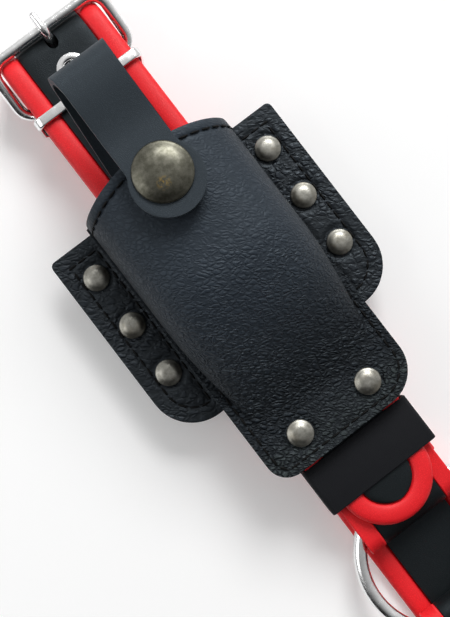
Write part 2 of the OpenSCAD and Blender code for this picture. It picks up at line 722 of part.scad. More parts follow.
// The lower rim of an eyelet is pressed into the lining
module tail_eyelets() {
    color(NICKEL) at_eyelets() difference() {
        union() {
            for (z = [tail_z, tail_top])
                translate([0, 0, z]) cylinder(d = eyelet_d, h = eyelet_flange_t, $fn = FINE);
            translate([0, 0, tail_z]) cylinder(r = eyelet_barrel_r, h = strap_t);
        }
        translate([0, 0, tail_z - 1]) cylinder(d = eyelet_bore, h = strap_t + 2);
    }
}

// ---- folds round the heel bar and the ring ----

// Side outline of a leather folded round a bar: two laps on a strap's faces, joined by a
// half turn about the origin
module fold_side(lap) {
    difference() {
        union() {
            circle(fold_out_r, $fn = FINE);
            translate([-lap, -fold_out_r]) square([lap, 2 * fold_out_r]);
        }
        circle(fold_in_r, $fn = FINE);
        translate([-lap - 1, -fold_in_r]) square([lap + 1, 2 * fold_in_r]);
    }
}
module flush_rivet() {
    translate([0, 0, strap_z - fold_t]) cylinder(d = rivet_head_d, h = rivet_head_t);
    translate([0, 0, strap_z - fold_t]) cylinder(d = rivet_post_d, h = strap_t + 2 * fold_t);
    translate([0, 0, strap_z + strap_t + fold_t - rivet_head_t])
        cylinder(d = rivet_head_d, h = rivet_head_t);
}
module flush_rivet_hole() {
    translate([0, 0, strap_z - fold_t - 1]) cylinder(d = rivet_head_d, h = rivet_head_t + 1);
    translate([0, 0, strap_z - fold_t - 1]) cylinder(r = post_hole_r, h = strap_t + 2 * fold_t + 2);
    translate([0, 0, strap_z + strap_t + fold_t - rivet_head_t])
        cylinder(d = rivet_head_d, h = rivet_head_t + 1);
}

module chape() {
    slot_half = prong_r + chape_slot_side;
    color(BLACK) difference() {
        translate([0, heel_at, strap_mid_z]) across(strap_w) fold_side(chape_l);
        at_chape_rivets() flush_rivet_hole();
        translate([-slot_half, heel_at - fold_out_r - chape_slot_side, strap_mid_z - 2 * fold_out_r])
            cube([2 * slot_half, 3 * fold_out_r, 4 * fold_out_r]);
    }
}
module chape_rivets() { color(NICKEL) at_chape_rivets() flush_rivet(); }

// The two folds round the ring are alike. turn is 0 on the buckle's side of the ring
module at_ring(turn) {
    translate([0, -ring_y, 0]) rotate([0, 0, turn]) children();
}
module ring_fold_piece() {
    translate([0, ring_fold_y, strap_mid_z]) rotate([0, 0, 180]) children();
}
module leather_fold(turn, lap) {
    difference() {
        at_ring(turn) ring_fold_piece() across(strap_w) fold_side(lap);
        at_ring(turn) translate([0, ring_rivet_y, 0]) flush_rivet_hole();
    }
}
module piping_fold(turn, lap) {
    width = ring_fold_half - strap_w / 2 - 2 * seam_gap;
    at_ring(turn) for (s = [-1, 1])
        translate([s * (strap_w / 2 + 2 * seam_gap + width / 2), 0, 0])
            ring_fold_piece() across(width) fold_side(lap - piping_lap_less);
}
module ring_fold() { color(BLACK) leather_fold(0, ring_lap); }
module ring_fold_piping() { color(RED) piping_fold(0, ring_lap); }
module ring_fold_rivet() { color(NICKEL) at_ring(0) translate([0, ring_rivet_y, 0]) flush_rivet(); }
module tail_ring_fold() { color(BLACK) leather_fold(180, far_lap); }
module tail_ring_fold_piping() { color(RED) piping_fold(180, far_lap); }
module tail_fold_rivet() { color(NICKEL) at_ring(180) translate([0, ring_rivet_y, 0]) flush_rivet(); }

// ---- buckle, keepers and ring ----

module wire_corner(x, u, turn) {
    translate([x, u, 0]) rotate([0, 0, turn])
        rotate_extrude(angle = 90, $fn = FINE) translate([buckle_corner_r, 0]) circle(wire_r);
}
module buckle_frame() {
    inner_u = frame_len - buckle_corner_r;
    inner_x = frame_half - buckle_corner_r;
    color(NICKEL) translate([0, heel_at, strap_mid_z]) rotate([frame_tilt, 0, 0]) {
        for (u = [0, frame_len])
            translate([-inner_x, u, 0]) rotate([0, 90, 0]) cylinder(r = wire_r, h = 2 * inner_x);
        for (s = [-1, 1])
            translate([s * frame_half, inner_u, 0]) rotate([90, 0, 0])
                cylinder(r = wire_r, h = inner_u - buckle_corner_r);
        wire_corner(inner_x, inner_u, 0);
        wire_corner(-inner_x, inner_u, 90);
        wire_corner(-inner_x, buckle_corner_r, 180);
        wire_corner(inner_x, buckle_corner_r, 270);
    }
}

// The prong is a loop on the heel bar and a round rod. The rod runs under the tail, turns
// up through its slot, bends over the outer bar and ends in a round tip.
module buckle_prong() {
    loop_in_r = wire_r + bar_gap;
    loop_out_r = fold_out_r - bar_gap;
    loop_w = prong_d + 4 * bar_gap;
    prong_tip_y = outer_bar_at + prong_overhang;
    heading = [cos(prong_start_angle), sin(prong_start_angle)];
    bend_start = prong_low + prong_bend_r * [heading[1], -heading[0]];
    root_y = heel_at + (loop_in_r + loop_out_r) / 2;
    shank_start = bend_start - (bend_start[0] - root_y) / heading[0] * heading;
    over = [outer_bar_at, outer_bar_z];
    tip_z = outer_bar_z + prong_over_r;
    // Each station is [y, z, heading, radius]
    walk = concat(
        [[shank_start[0], shank_start[1], prong_start_angle, prong_r]],
        [for (k = [0 : 4]) let (a = prong_start_angle + (prong_angle - prong_start_angle) * k / 4)
            [prong_low[0] + prong_bend_r * sin(a), prong_low[1] - prong_bend_r * cos(a), a, prong_r]],
        [for (k = [0 : 5]) let (a = prong_angle * (1 - k / 5))
            [over[0] - prong_over_r * sin(a), over[1] + prong_over_r * cos(a), a, prong_r]],
        [for (a = [0 : 18 : 72]) [prong_tip_y - prong_r + prong_r * sin(a), tip_z, 0, prong_r * cos(a)]]);
    circle_points = [for (a = [0 : 30 : 330]) [cos(a), sin(a)]];
    color(NICKEL) {
        translate([-loop_w / 2, heel_at, strap_mid_z]) rotate([0, 90, 0]) difference() {
            cylinder(r = loop_out_r, h = loop_w, $fn = FINE);
            translate([0, 0, -1]) cylinder(r = loop_in_r, h = loop_w + 2, $fn = FINE);
        }
        swept([for (w = walk) [[0, w[0], w[1]], [w[3], 0, 0], w[3] * [0, -sin(w[2]), cos(w[2])]]],
              circle_points);
    }
}

// A loop round both straps, as a frame of rectangular outline. over is its gap above the tail
module loop_round_band(y, len_y, t, corner, over) {
    z0 = strap_z - fold_t - bar_gap;
    z1 = tail_top + over;
    half = band_half + side_gap;
    translate([0, y + len_y / 2, 0]) rotate([90, 0, 0]) linear_extrude(len_y) difference() {
        rounded_plate(half + t, z0 - t, z1 + t, corner, corner);
        translate([-half, z0]) square([2 * half, z1 - z0]);
    }
}
module metal_keeper() {
    color(NICKEL) loop_round_band(keeper_at, keeper_l, keeper_t, 1.2, eyelet_flange_t + bar_gap);
}
module woven_keeper() {
    color([0.04, 0.04, 0.05])
        loop_round_band(woven_keeper_y - ring_y, woven_keeper_l, woven_keeper_t, 0.9, bar_gap);
}

module o_ring() {
    color(NICKEL) translate([0, -ring_y, strap_mid_z])
        rotate_extrude($fn = FINE) translate([ring_r, 0]) circle(ring_wire_r, $fn = 32);
}

pouch_front();
pouch_back();
saddle_panel();
tunnel_back();
wing_rivet_caps();
wing_rivet_posts();
bottom_rivet_caps();
bottom_rivet_posts();
closure_root();
closure_rivets();
snap_stud();
closure_flap();
snap_cap();
snap_socket();
buckle_strap_leather();
buckle_strap_lining();
buckle_strap_tape();
buckle_strap_piping();
chape();
chape_rivets();
ring_fold();
ring_fold_piping();
ring_fold_rivet();
tail_strap_leather();
tail_strap_lining();
tail_strap_tape();
tail_strap_piping();
tail_eyelets();
tail_ring_fold();
tail_ring_fold_piping();
tail_fold_rivet();
buckle_frame();
buckle_prong();
metal_keeper();
woven_keeper();
o_ring();
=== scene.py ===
from math import atan2, copysign, cos, exp, pi, radians, sin, sqrt, tan

import bmesh
import bpy
from mathutils import Matrix, Vector


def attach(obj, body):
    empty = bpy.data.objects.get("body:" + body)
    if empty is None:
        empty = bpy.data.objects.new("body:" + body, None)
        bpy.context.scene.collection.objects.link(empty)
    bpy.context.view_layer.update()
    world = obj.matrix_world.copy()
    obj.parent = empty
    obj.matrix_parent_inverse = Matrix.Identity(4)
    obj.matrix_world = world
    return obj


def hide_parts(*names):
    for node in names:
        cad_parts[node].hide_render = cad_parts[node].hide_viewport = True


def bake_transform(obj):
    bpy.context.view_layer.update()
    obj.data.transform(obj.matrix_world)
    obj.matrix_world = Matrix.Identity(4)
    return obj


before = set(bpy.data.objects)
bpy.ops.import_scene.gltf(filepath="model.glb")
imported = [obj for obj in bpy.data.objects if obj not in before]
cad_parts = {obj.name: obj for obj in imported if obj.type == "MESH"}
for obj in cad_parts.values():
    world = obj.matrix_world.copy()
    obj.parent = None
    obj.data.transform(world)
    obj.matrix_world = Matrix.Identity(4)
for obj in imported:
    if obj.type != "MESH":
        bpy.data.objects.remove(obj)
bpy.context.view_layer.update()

# ---- Camera, light and table ----
# The band lies flat on a white table and is seen from nearly straight above, turned about
# forty degrees. Soft daylight comes from the upper right. Sizes are millimetres throughout,
# and MM turns them into metres.
MM = 0.001
picture_h = 617
lens_px = 1100
sensor_mm = 36
camera_at = Vector((-20.354, -18.834, 299.881))
band_turn = radians(38.3)
camera_lean = Vector((-0.051, 0.022, -0.016))

camera = bpy.data.objects.new("camera", bpy.data.cameras.new("camera"))
bpy.context.scene.collection.objects.link(camera)
camera.data.sensor_width = sensor_mm
camera.data.lens = sensor_mm * lens_px / picture_h
camera.data.clip_start = 0.01
picture_right = Vector((cos(band_turn), -sin(band_turn), 0))
picture_up = Vector((sin(band_turn), cos(band_turn), 0))
square_on = Matrix((picture_right, picture_up, Vector((0, 0, 1))))
lean = Matrix.Rotation(camera_lean.length, 3, camera_lean.normalized())
camera.matrix_world = Matrix.Translation(camera_at * MM) @ (lean @ square_on).transposed().to_4x4()
bpy.context.scene.camera = camera
bpy.context.scene.view_settings.view_transform = "Standard"


def new_material(name):
    """A material with an empty tree but for its output, and that tree."""
    material = bpy.data.materials.new(name)
    material.use_nodes = True
    material.node_tree.nodes.clear()
    material.node_tree.nodes.new("ShaderNodeOutputMaterial")
    return material, material.node_tree


def add(tree, kind, sources=(), **settings):
    """Adds a node, sets its properties, and feeds its inputs from values or sockets."""
    node = tree.nodes.new("ShaderNode" + kind)
    for name, value in settings.items():
        setattr(node, name, value)
    for socket, source in dict(sources).items():
        if isinstance(source, bpy.types.NodeSocket):
            tree.links.new(source, node.inputs[socket])
        else:
            node.inputs[socket].default_value = source
    return node


def calc(tree, operation, a, b=0.0, c=0.0):
    return add(tree, "Math", {0: a, 1: b, 2: c}, operation=operation).outputs[0]


def ramp(tree, value, low, high, to_low=0.0, to_high=1.0, kind="LINEAR"):
    """Turns values from low to high into to_low to to_high, and holds both ends."""
    limits = {"From Min": low, "From Max": high, "To Min": to_low, "To Max": to_high}
    return add(tree, "MapRange", {"Value": value, **limits}, interpolation_type=kind).outputs[0]


def show(tree, shader):
    """Joins a shader to the material's output."""
    tree.links.new(shader.outputs[0], tree.nodes["Material Output"].inputs["Surface"])


def seen_or_reflected(tree):
    """1 for rays from the camera, in a reflection or through glass, and 0 for light."""
    path = add(tree, "LightPath").outputs
    mirrored = calc(tree, "MAXIMUM", path["Is Camera Ray"], path["Is Glossy Ray"])
    return calc(tree, "MAXIMUM", mirrored, path["Is Transmission Ray"])


white = (1, 1, 1, 1)
table_white = (0.86, 0.86, 0.86, 1)
table_glow = 0.2
table_size = 3
table_drop = 0.05

table_paint, tree = new_material("table_white")
matt = add(tree, "BsdfDiffuse", {"Color": table_white})
glow_level = calc(tree, "MULTIPLY", seen_or_reflected(tree), table_glow)
glow = add(tree, "Emission", {"Color": white, "Strength": glow_level})
show(tree, add(tree, "AddShader", {0: matt.outputs[0], 1: glow.outputs[0]}))

bm = bmesh.new()
bmesh.ops.create_grid(bm, x_segments=1, y_segments=1, size=table_size / 2)
table = bpy.data.objects.new("table", bpy.data.meshes.new("table"))
bm.to_mesh(table.data)
bm.free()
table.data.materials.append(table_paint)
table.location.z = -table_drop * MM
bpy.context.scene.collection.objects.link(table)

sky_light = 0.55
sky_seen = 0.7
sky_dark = 0.02
sky_fall = (-0.72, 0.45)

sky = bpy.data.worlds.new("sky")
bpy.context.scene.world = sky
sky.use_nodes = True
tree = sky.node_tree
tree.nodes.clear()
facing = add(tree, "VectorMath", {0: add(tree, "TexCoord").outputs["Generated"], 1: picture_up},
             operation="DOT_PRODUCT").outputs["Value"]
level = ramp(tree, seen_or_reflected(tree), 0, 1, sky_light, sky_seen)
shaded = calc(tree, "MULTIPLY", level, ramp(tree, facing, *sky_fall, sky_dark))
strength = calc(tree, "MAXIMUM", shaded, add(tree, "LightPath").outputs["Is Camera Ray"])
background = add(tree, "Background", {"Color": white, "Strength": strength})
tree.links.new(background.outputs[0], tree.nodes.new("ShaderNodeOutputWorld").inputs["Surface"])


def area_lamp(name, at, size, power):
    """A square soft lamp that looks at the middle of the band. Its place and size are metres."""
    lamp = bpy.data.objects.new(name, bpy.data.lights.new(name, "AREA"))
    lamp.data.size = size
    lamp.data.energy = power
    lamp.location = at
    lamp.rotation_euler = (-Vector(at)).to_track_quat("-Z", "Y").to_euler()
    bpy.context.scene.collection.objects.link(lamp)


area_lamp("window", at=(0.55, 0.55, 0.75), size=0.5, power=9)
area_lamp("side_fill", at=(-0.7, 0.3, 0.6), size=0.6, power=2)
area_lamp("low_card", at=(0.35, -0.85, 0.4), size=0.5, power=0.1)

# ---- Leather grain ----
# The pouch is cut from embossed cowhide. Its grain is small flat pebbles with fine creases
# between them, stronger in some places than in others.
SOFT = "SMOOTHSTEP"


def noise(tree, place, scale, detail, rough=0.5):
    return add(tree, "TexNoise", {"Vector": place, "Scale": scale, "Detail": detail,
                                  "Roughness": rough}).outputs[0]


def mixed(tree, share, a, b, way="MIX"):
    """One colour passing into another by share, or added to it."""
    return add(tree, "Mix", {"Factor": share, "A": a, "B": b}, data_type="RGBA",
               blend_type=way).outputs["Result"]


def bumped(tree, height, strength, depth):
    return add(tree, "Bump", {"Height": height, "Strength": strength, "Distance": depth}).outputs[0]


def skin(tree, colour, rough, normal, metal=0.0, shine=0.5, shine_tone=white):
    """Ends a material's tree in its one surface."""
    show(tree, add(tree, "BsdfPrincipled", {
        "Base Color": colour, "Roughness": rough, "Normal": normal, "Metallic": metal,
        "Specular IOR Level": shine, "Specular Tint": shine_tone}))


def new_group(name, inputs, outputs):
    """A shader node group with float inputs (name: default), a Vector input and outputs."""
    group = bpy.data.node_groups.new(name, "ShaderNodeTree")
    group.interface.new_socket("Vector", in_out="INPUT", socket_type="NodeSocketVector")
    for label, value in inputs.items():
        group.interface.new_socket(label, in_out="INPUT", socket_type="NodeSocketFloat").default_value = value
    for label in outputs:
        group.interface.new_socket(label, in_out="OUTPUT", socket_type="NodeSocketFloat")
    return group, group.nodes.new("NodeGroupInput").outputs, group.nodes.new("NodeGroupOutput").inputs


pebble_grain, given, result = new_group(
    "pebble_grain", {"Pebbles per m": 1000, "Warp": 0.4, "Patchiness": 0.5, "Creasing": 0.45},
    ["Height", "Pebble"])
tree = pebble_grain
fine = add(tree, "TexNoise", {"Vector": given["Vector"], "Scale": 420.0, "Detail": 2.0})
centred = add(tree, "VectorMath", {0: fine.outputs["Color"], 1: (0.5, 0.5, 0.5)}, operation="SUBTRACT")
reach = calc(tree, "MULTIPLY", given["Warp"], 0.004)
shift = add(tree, "VectorMath", {0: centred.outputs[0], "Scale": reach}, operation="SCALE")
warped = add(tree, "VectorMath", {0: given["Vector"], 1: shift.outputs[0]}, operation="ADD").outputs[0]
cells = add(tree, "TexVoronoi", {"Vector": warped, "Scale": given["Pebbles per m"]},
            feature="DISTANCE_TO_EDGE")
pebble = ramp(tree, cells.outputs["Distance"], 0, 0.32, kind=SOFT)
crease = ramp(tree, noise(tree, warped, 260, 4, 0.6), 0.35, 0.62)
patch = ramp(tree, noise(tree, given["Vector"], 55, 2), 0.32, 0.68, kind=SOFT)
calm = calc(tree, "MULTIPLY_ADD", patch, given["Patchiness"],
            calc(tree, "SUBTRACT", 1.0, given["Patchiness"]))
bumps = calc(tree, "MULTIPLY", pebble, calm)
tree.links.new(bumps, result["Pebble"])
tree.links.new(calc(tree, "MULTIPLY_ADD", crease, given["Creasing"], bumps), result["Height"])

cool_shine = (0.78, 0.9, 1, 1)


def leather(name, tone, light_tone, rough, pebbles, depth, stretch=(1, 1, 1), slant=0, warp=0.4,
            patchiness=0.5, creasing=0.45, shine=0.3, shine_tone=cool_shine, calm=None,
            rub_wear_and_painted_light=None, painted_crown_sheen=None):
    """Embossed or smooth leather: dark creases, paler and glossier on the pebbles' tops.

    The grain is stretched along a slanted direction. calm is (y of the smoothest place, y of the
    coarsest, least strength). The next tuple is painted light on the flange, paler pebble tops: (y where
    it starts, y where it is full, tone). The last is a painted sheen that lightens the arch's crown: (z
    where it starts, z where it is full, tone that it adds). Places are in mm.
    """
    material, tree = new_material(name)
    spot = add(tree, "TexCoord").outputs["Object"]
    parts = add(tree, "SeparateXYZ", {"Vector": spot}).outputs
    place = add(tree, "Mapping", {"Vector": spot, "Rotation": (0, 0, slant), "Scale": stretch},
                vector_type="TEXTURE").outputs[0]
    grain = add(tree, "Group", {"Vector": place, "Pebbles per m": pebbles, "Warp": warp,
                                "Patchiness": patchiness, "Creasing": creasing},
                node_tree=pebble_grain).outputs
    # Painted light: the flange's pebble tops turn paler, in place of the light that the flat flange catches.
    if rub_wear_and_painted_light:
        share = ramp(tree, parts["Y"], rub_wear_and_painted_light[0] * MM, rub_wear_and_painted_light[1] * MM)
        light_tone = mixed(tree, share, light_tone, rub_wear_and_painted_light[2])
    colour = mixed(tree, grain["Pebble"], tone, light_tone)
    # Painted sheen: a tone added over the arch's crown, growing with height, in place of the light on it.
    if painted_crown_sheen:
        share = ramp(tree, parts["Z"], painted_crown_sheen[0] * MM, painted_crown_sheen[1] * MM)
        colour = mixed(tree, share, colour, painted_crown_sheen[2], "ADD")
    strength = 1.0
    if calm:
        strength = ramp(tree, parts["Y"], calm[0] * MM, calm[1] * MM, calm[2], kind=SOFT)
    skin(tree, colour, ramp(tree, grain["Pebble"], 0, 1, rough + 0.12, rough),
         bumped(tree, grain["Height"], strength, depth), shine=shine, shine_tone=shine_tone)
    return material


# A finish is a material with the slot of the record that it stands for.
pebbled = (leather(
    "pebbled_leather", tone=(0.0025, 0.003, 0.004, 1), light_tone=(0.009, 0.012, 0.016, 1), rough=0.47,
    pebbles=800, depth=0.36 * MM, stretch=(1.5, 0.85, 1), slant=-band_turn, warp=0.6, patchiness=0.5,
    # The flange tone here is painted light: paler pebble tops where the flat flange catches light.
    shine=0.36, calm=(16, -34, 0.25), rub_wear_and_painted_light=(-45, -50, (0.034, 0.042, 0.042, 1)),
    # The crown tone is a painted sheen: paler leather high on the arch, where light falls.
    painted_crown_sheen=(22, 34, (0.014, 0.019, 0.026, 1))), "pebbled_leather")
wing_hide = (leather(
    "wing_leather", tone=(0.0025, 0.003, 0.004, 1), light_tone=(0.008, 0.01, 0.014, 1), rough=0.4,
    pebbles=620, depth=0.2 * MM, stretch=(1.4, 0.9, 1), slant=-band_turn, warp=0.6, patchiness=0.7,
    shine=0.42), "pebbled_leather")

# ---- Pouch front ----
# One piece of pebbled leather, wet-moulded into a deep arch that sinks into a flat flange at
# the bottom. It is stitched down both sides and riveted through the flange.
pouch_half = 22.7
pouch_bottom = -56
mouth_y = 25.8
flange_y = -43
slope = 42
pouch_depth = 17.7
inside_z = 19.3
front_t = 1.6
left_corner_r = 6
right_corner_r = 10
rim_bow = 4.7
brim_thin = 0.6
brim_wide = 5
brim_lead = 6
squareness = 2.7
arch_share = 0.86
hem_inset = 2.6
hem_groove = 0.28
hem_groove_w = 0.45
hem_rim = 0.2
hem_swell = 1.2
hem_roll = 0.7
side_inset = 2.2
sewn_from_y = -26
groove_depth = 0.32
ring_depth = 0.5
groove_w = 0.6
cap_r = 3.5
press_ring_r = cap_r + 0.4
bottom_rivet = Vector((10.8, -48))
row_pitch = 0.875
fine_rows_y = 20
front_rows = ([pouch_bottom + left_corner_r * (1 - cos(radians(a))) for a in range(0, 90, 9)]
              + [pouch_bottom + left_corner_r + row_pitch * k for k in range(80)]
              + [fine_rows_y + (mouth_y - fine_rows_y) * k / 20 for k in range(1, 21)])


def clamp(value, low=0, high=1):
    return min(high, max(low, value))


def rise(u):
    return sin(pi / 2 * clamp(u)) ** 1.5


def power(value, exponent):
    return copysign(abs(value) ** exponent, value)


def front_half(y, side, inset=0):
    """How far the front reaches to its left (side < 0) or right. Its right corner is rounder."""
    radius = (left_corner_r if side < 0 else right_corner_r) - inset
    over = max(0, pouch_bottom + inset + radius - y)
    return pouch_half - inset - radius + sqrt(max(0, radius ** 2 - over ** 2))


def brim(y):
    return brim_thin + (brim_wide - brim_thin) * (1 - rise((y - flange_y + brim_lead) / slope))


def hem(y):
    """How far the folded rim stands out, and the groove where its stitches pull it in."""
    past = y - (mouth_y - hem_inset)
    groove = hem_groove * exp(-(past / hem_groove_w) ** 2)
    return hem_rim * clamp(past / hem_swell) * min(1, (mouth_y - y) / hem_roll + 0.4) - groove


def trench(depth, off):
    """Depth of a pressed line, this far from its middle."""
    return depth * exp(-(off / groove_w) ** 2)


def flange_press(x, y):
    """How deep the stitches and the rivets pull the flange in."""
    low = pouch_bottom + side_inset
    corner = front_half(low, x, side_inset)
    off_row = min(abs(abs(x) - front_half(y, x, side_inset)) + max(0, low - y),
                  abs(y - low) + max(0, abs(x) - corner))
    off_rivet = (Vector((abs(x), y)) - bottom_rivet).length - press_ring_r
    sewn = clamp((sewn_from_y + 1 - y) / 3)
    return max(trench(groove_depth, off_row) * sewn, trench(ring_depth, off_rivet))


def front_point(across, y):
    """A point of the front's outer face. across runs from -1 to 1 over brim, arch and brim."""
    height = pouch_depth * rise((y - flange_y) / slope)
    half = front_half(y, across)
    leg = half - brim(y)
    if abs(across) > arch_share:
        x = copysign(leg + (half - leg) * (abs(across) - arch_share) / (1 - arch_share), across)
        z = 0
    else:
        turn = pi / 2 * (1 - across / arch_share)
        out = hem(y) * min(1, 2 * sin(turn))
        x = leg * power(cos(turn), 2 / squareness) + out * cos(turn)
        z = height * sin(turn) ** (2 / squareness) + out * sin(turn)
    reach = max(0, (y - flange_y) / (mouth_y - flange_y))
    bow = rim_bow * (1 - (x / pouch_half) ** 2) * reach ** 3
    return Vector((x, y + bow, inside_z + front_t + z - flange_press(x, y)))


def finish_mesh(bm, name, finish, body, *replaced, rounding=0):
    """Turns a mesh in millimetres into a piece that rides on its body and stands for CAD nodes."""
    bmesh.ops.scale(bm, vec=(MM, MM, MM), verts=bm.verts)
    for face in bm.faces:
        face.smooth = True
    piece = bpy.data.objects.new(name, bpy.data.meshes.new(name))
    bm.to_mesh(piece.data)
    bm.free()
    bpy.context.scene.collection.objects.link(piece)
    material, slot = finish
    piece.data.materials.append(material)
    if rounding:
        edge = piece.modifiers.new("rounded edges", "BEVEL")
        edge.width = rounding * MM
        edge.segments = 3
        edge.limit_method = "ANGLE"
        edge.angle_limit = radians(40)
    if body:
        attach(piece, body)
    if replaced:
        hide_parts(*replaced)
    return piece


def punch(bm, at, way, radius, half_slot=Vector(), reach=4, pull=1.2):
    """Cuts a hole through a sheet, along way from a point near its face.

    It is round, or a slot with its ends round the points half_slot ahead of at and behind it.
    Edge points up to pull outside it are drawn to its rim.
    """
    def off_axis(point):
        along = (point - at).dot(way)
        off = point - at - along * way
        if half_slot.length:
            off -= half_slot * clamp(off.dot(half_slot) / half_slot.length_squared, -1)
        return off, abs(along) < reach
    gone = []
    for face in bm.faces:
        off, near = off_axis(face.calc_center_median())
        if near and off.length < radius:
            gone.append(face)
    bmesh.ops.delete(bm, geom=gone, context="FACES")
    for vert in bm.verts:
        off, near = off_axis(vert.co)
        if near and vert.is_boundary and off.length < radius + pull:
            vert.co += off.normalized() * (radius - off.length)


def soft_sheet(across_steps, along_steps, place, thickness, turned_over=False, punches=()):
    """A grid laid out by place(u, v), u and v from 0 to 1, and thickened on its inner side.

    punches are holes of (point, way, radius, half_slot).
    """
    bm = bmesh.new()
    bmesh.ops.create_grid(bm, x_segments=across_steps, y_segments=along_steps, size=0.5)
    for vert in bm.verts:
        vert.co = place(vert.co.x + 0.5, vert.co.y + 0.5)
    bmesh.ops.remove_doubles(bm, verts=bm.verts, dist=0.001)
    bmesh.ops.dissolve_degenerate(bm, dist=0.001, edges=bm.edges)
    for hole in punches:
        punch(bm, *hole)
    if turned_over:
        bmesh.ops.reverse_faces(bm, faces=bm.faces)
    bmesh.ops.solidify(bm, geom=bm.faces[:], thickness=thickness)
    return bm


def front_place(u, v):
    return front_point(2 * u - 1, front_rows[round(v * (len(front_rows) - 1))])


bm = soft_sheet(100, len(front_rows) - 1, front_place, front_t)
for vert in bm.verts:
    vert.co.z = max(inside_z, vert.co.z)
finish_mesh(bm, "pouch_front_leather", pebbled, "pouch", "pouch_front", rounding=0.4)

# ---- Stitching ----
# Black bonded thread, sewn by machine in straight lines. Each stitch is a short fat bead that
# dips into the leather at both ends.
stitch_pitch = 3.2
stitch_half_l = 0.42 * stitch_pitch
thread_r = 0.3

black_thread, tree = new_material("black_thread")
twist = add(tree, "TexWave", {"Vector": add(tree, "TexCoord").outputs["Object"], "Scale": 1400.0,
                              "Distortion": 1.5}, bands_direction="DIAGONAL").outputs["Fac"]
skin(tree, (0.003, 0.003, 0.003, 1), 0.6, bumped(tree, twist, 0.5, 0.05 * MM), shine=0.15)
thread = (black_thread, "pebbled_leather")


def spaced(points, pitch):
    """Places at an even pitch along a line of points, each with the direction there."""
    lengths = [0]
    for a, b in zip(points, points[1:]):
        lengths.append(lengths[-1] + (b - a).length)
    count = max(1, round(lengths[-1] / pitch))
    places = []
    for k in range(count):
        at = (k + 0.5) * lengths[-1] / count
        i = max(j for j, length in enumerate(lengths[:-1]) if length <= at)
        share = (at - lengths[i]) / (lengths[i + 1] - lengths[i])
        places.append((points[i].lerp(points[i + 1], share), (points[i + 1] - points[i]).normalized()))
    return places


def stitched(bm, points):
    """Adds a row of stitches along a line of points."""
    for at, way in spaced(points, stitch_pitch):
        turn = Vector((0, 0, 1)).rotation_difference(way).to_matrix().to_4x4()
        bead = bmesh.ops.create_uvsphere(bm, u_segments=8, v_segments=6, radius=1)["verts"]
        size = Matrix.Diagonal((thread_r, thread_r, stitch_half_l, 1))
        bmesh.ops.transform(bm, matrix=Matrix.Translation(at) @ turn @ size, verts=bead)


# ---- Wings ----
# A saddle panel under the pouch and a tunnel's back under the band, both of thick pebbled
# leather. Beside the band they come together as wings, sewn round and held by three rivets.
wing_half = 36
wing_front = -32
wing_rear = 25.5
wing_t = 1.6
wing_front_r = 12
wing_rear_r = 1.5
tunnel_half = 16.3
wing_slope = 7
saddle_mid_z = 16.3
back_mid_z = 4.5
wing_mid_z = 11.2
stitch_inset = 4
seam_x = wing_half - stitch_inset
seam_inner_x = tunnel_half + wing_slope + 0.5
wing_rivet_x = 28.2
wing_rivet_pitch = 15.5


def wing_ends(x, inset=0):
    """Lowest and highest y of the panel at this x, with its round corners."""
    def corner(radius):
        radius = max(0.1, radius - inset)
        past = max(0, abs(x) - (wing_half - inset - radius))
        return radius - sqrt(max(0, radius ** 2 - past ** 2))
    return wing_front + inset + corner(wing_front_r), wing_rear - inset - corner(wing_rear_r)


def slope_share(x):
    """0 over the band and 1 on the wing, in a soft S between them."""
    u = clamp((abs(x) - tunnel_half) / wing_slope)
    return u * u * (3 - 2 * u)


def panel_x(u):
    """Columns across the panel, closer together near both edges."""
    centred = 2 * u - 1
    return wing_half * copysign(1 - (1 - abs(centred)) ** 1.35, centred)


def wing_press(x, y):
    """How deep the stitches and the rivets pull a wing in."""
    row_x = clamp(x, seam_inner_x, seam_x)
    low, high = wing_ends(row_x, stitch_inset)
    off_sides = min(abs(x - seam_x), abs(x - seam_inner_x)) + max(0, low - y) + max(0, y - high)
    off_ends = min(abs(y - low), abs(y - high)) + abs(x - row_x)
    rivet_y = wing_rivet_pitch * clamp(round(y / wing_rivet_pitch), -1)
    off_rivet = Vector((x - wing_rivet_x, y - rivet_y)).length - press_ring_r
    return max(trench(groove_depth, min(off_sides, off_ends)), trench(ring_depth, off_rivet))


def winged_panel(mid_z, wing_z, pressed):
    def place(u, v):
        x = panel_x(u)
        low, high = wing_ends(x)
        y = low + (high - low) * v
        z = mid_z + (wing_z - mid_z) * slope_share(x) - pressed * wing_press(abs(x), y)
        return Vector((x, y, z + wing_t))
    return soft_sheet(110, 88, place, wing_t)


bm = winged_panel(saddle_mid_z, wing_mid_z, 1)
for vert in bm.verts:
    vert.co.z = max(wing_mid_z, vert.co.z)
finish_mesh(bm, "saddle_leather", wing_hide, "pouch", "saddle_panel", rounding=0.35)
finish_mesh(winged_panel(back_mid_z, wing_mid_z - wing_t, 0), "tunnel_leather", wing_hide, "pouch",
            "tunnel_back", rounding=0.35)

seam_z = wing_mid_z + wing_t - groove_depth / 2
bm = bmesh.new()
for side in (-1, 1):
    xs = [seam_inner_x + (seam_x - seam_inner_x) * sin(pi / 2 * k / 16) for k in range(17)]
    front_row, rear_row = [[Vector((side * x, wing_ends(x, stitch_inset)[end], seam_z)) for x in xs]
                           for end in (0, 1)]
    stitched(bm, front_row + rear_row[::-1])
    stitched(bm, [front_row[0], rear_row[0]])
finish_mesh(bm, "wing_stitches", thread, "pouch")

# ---- Pouch stitching ----
# One row down each side and round the bottom flange joins the front to the back. A second
# row sews the hem at the mouth.
surface = 0.02
corner_l = 9


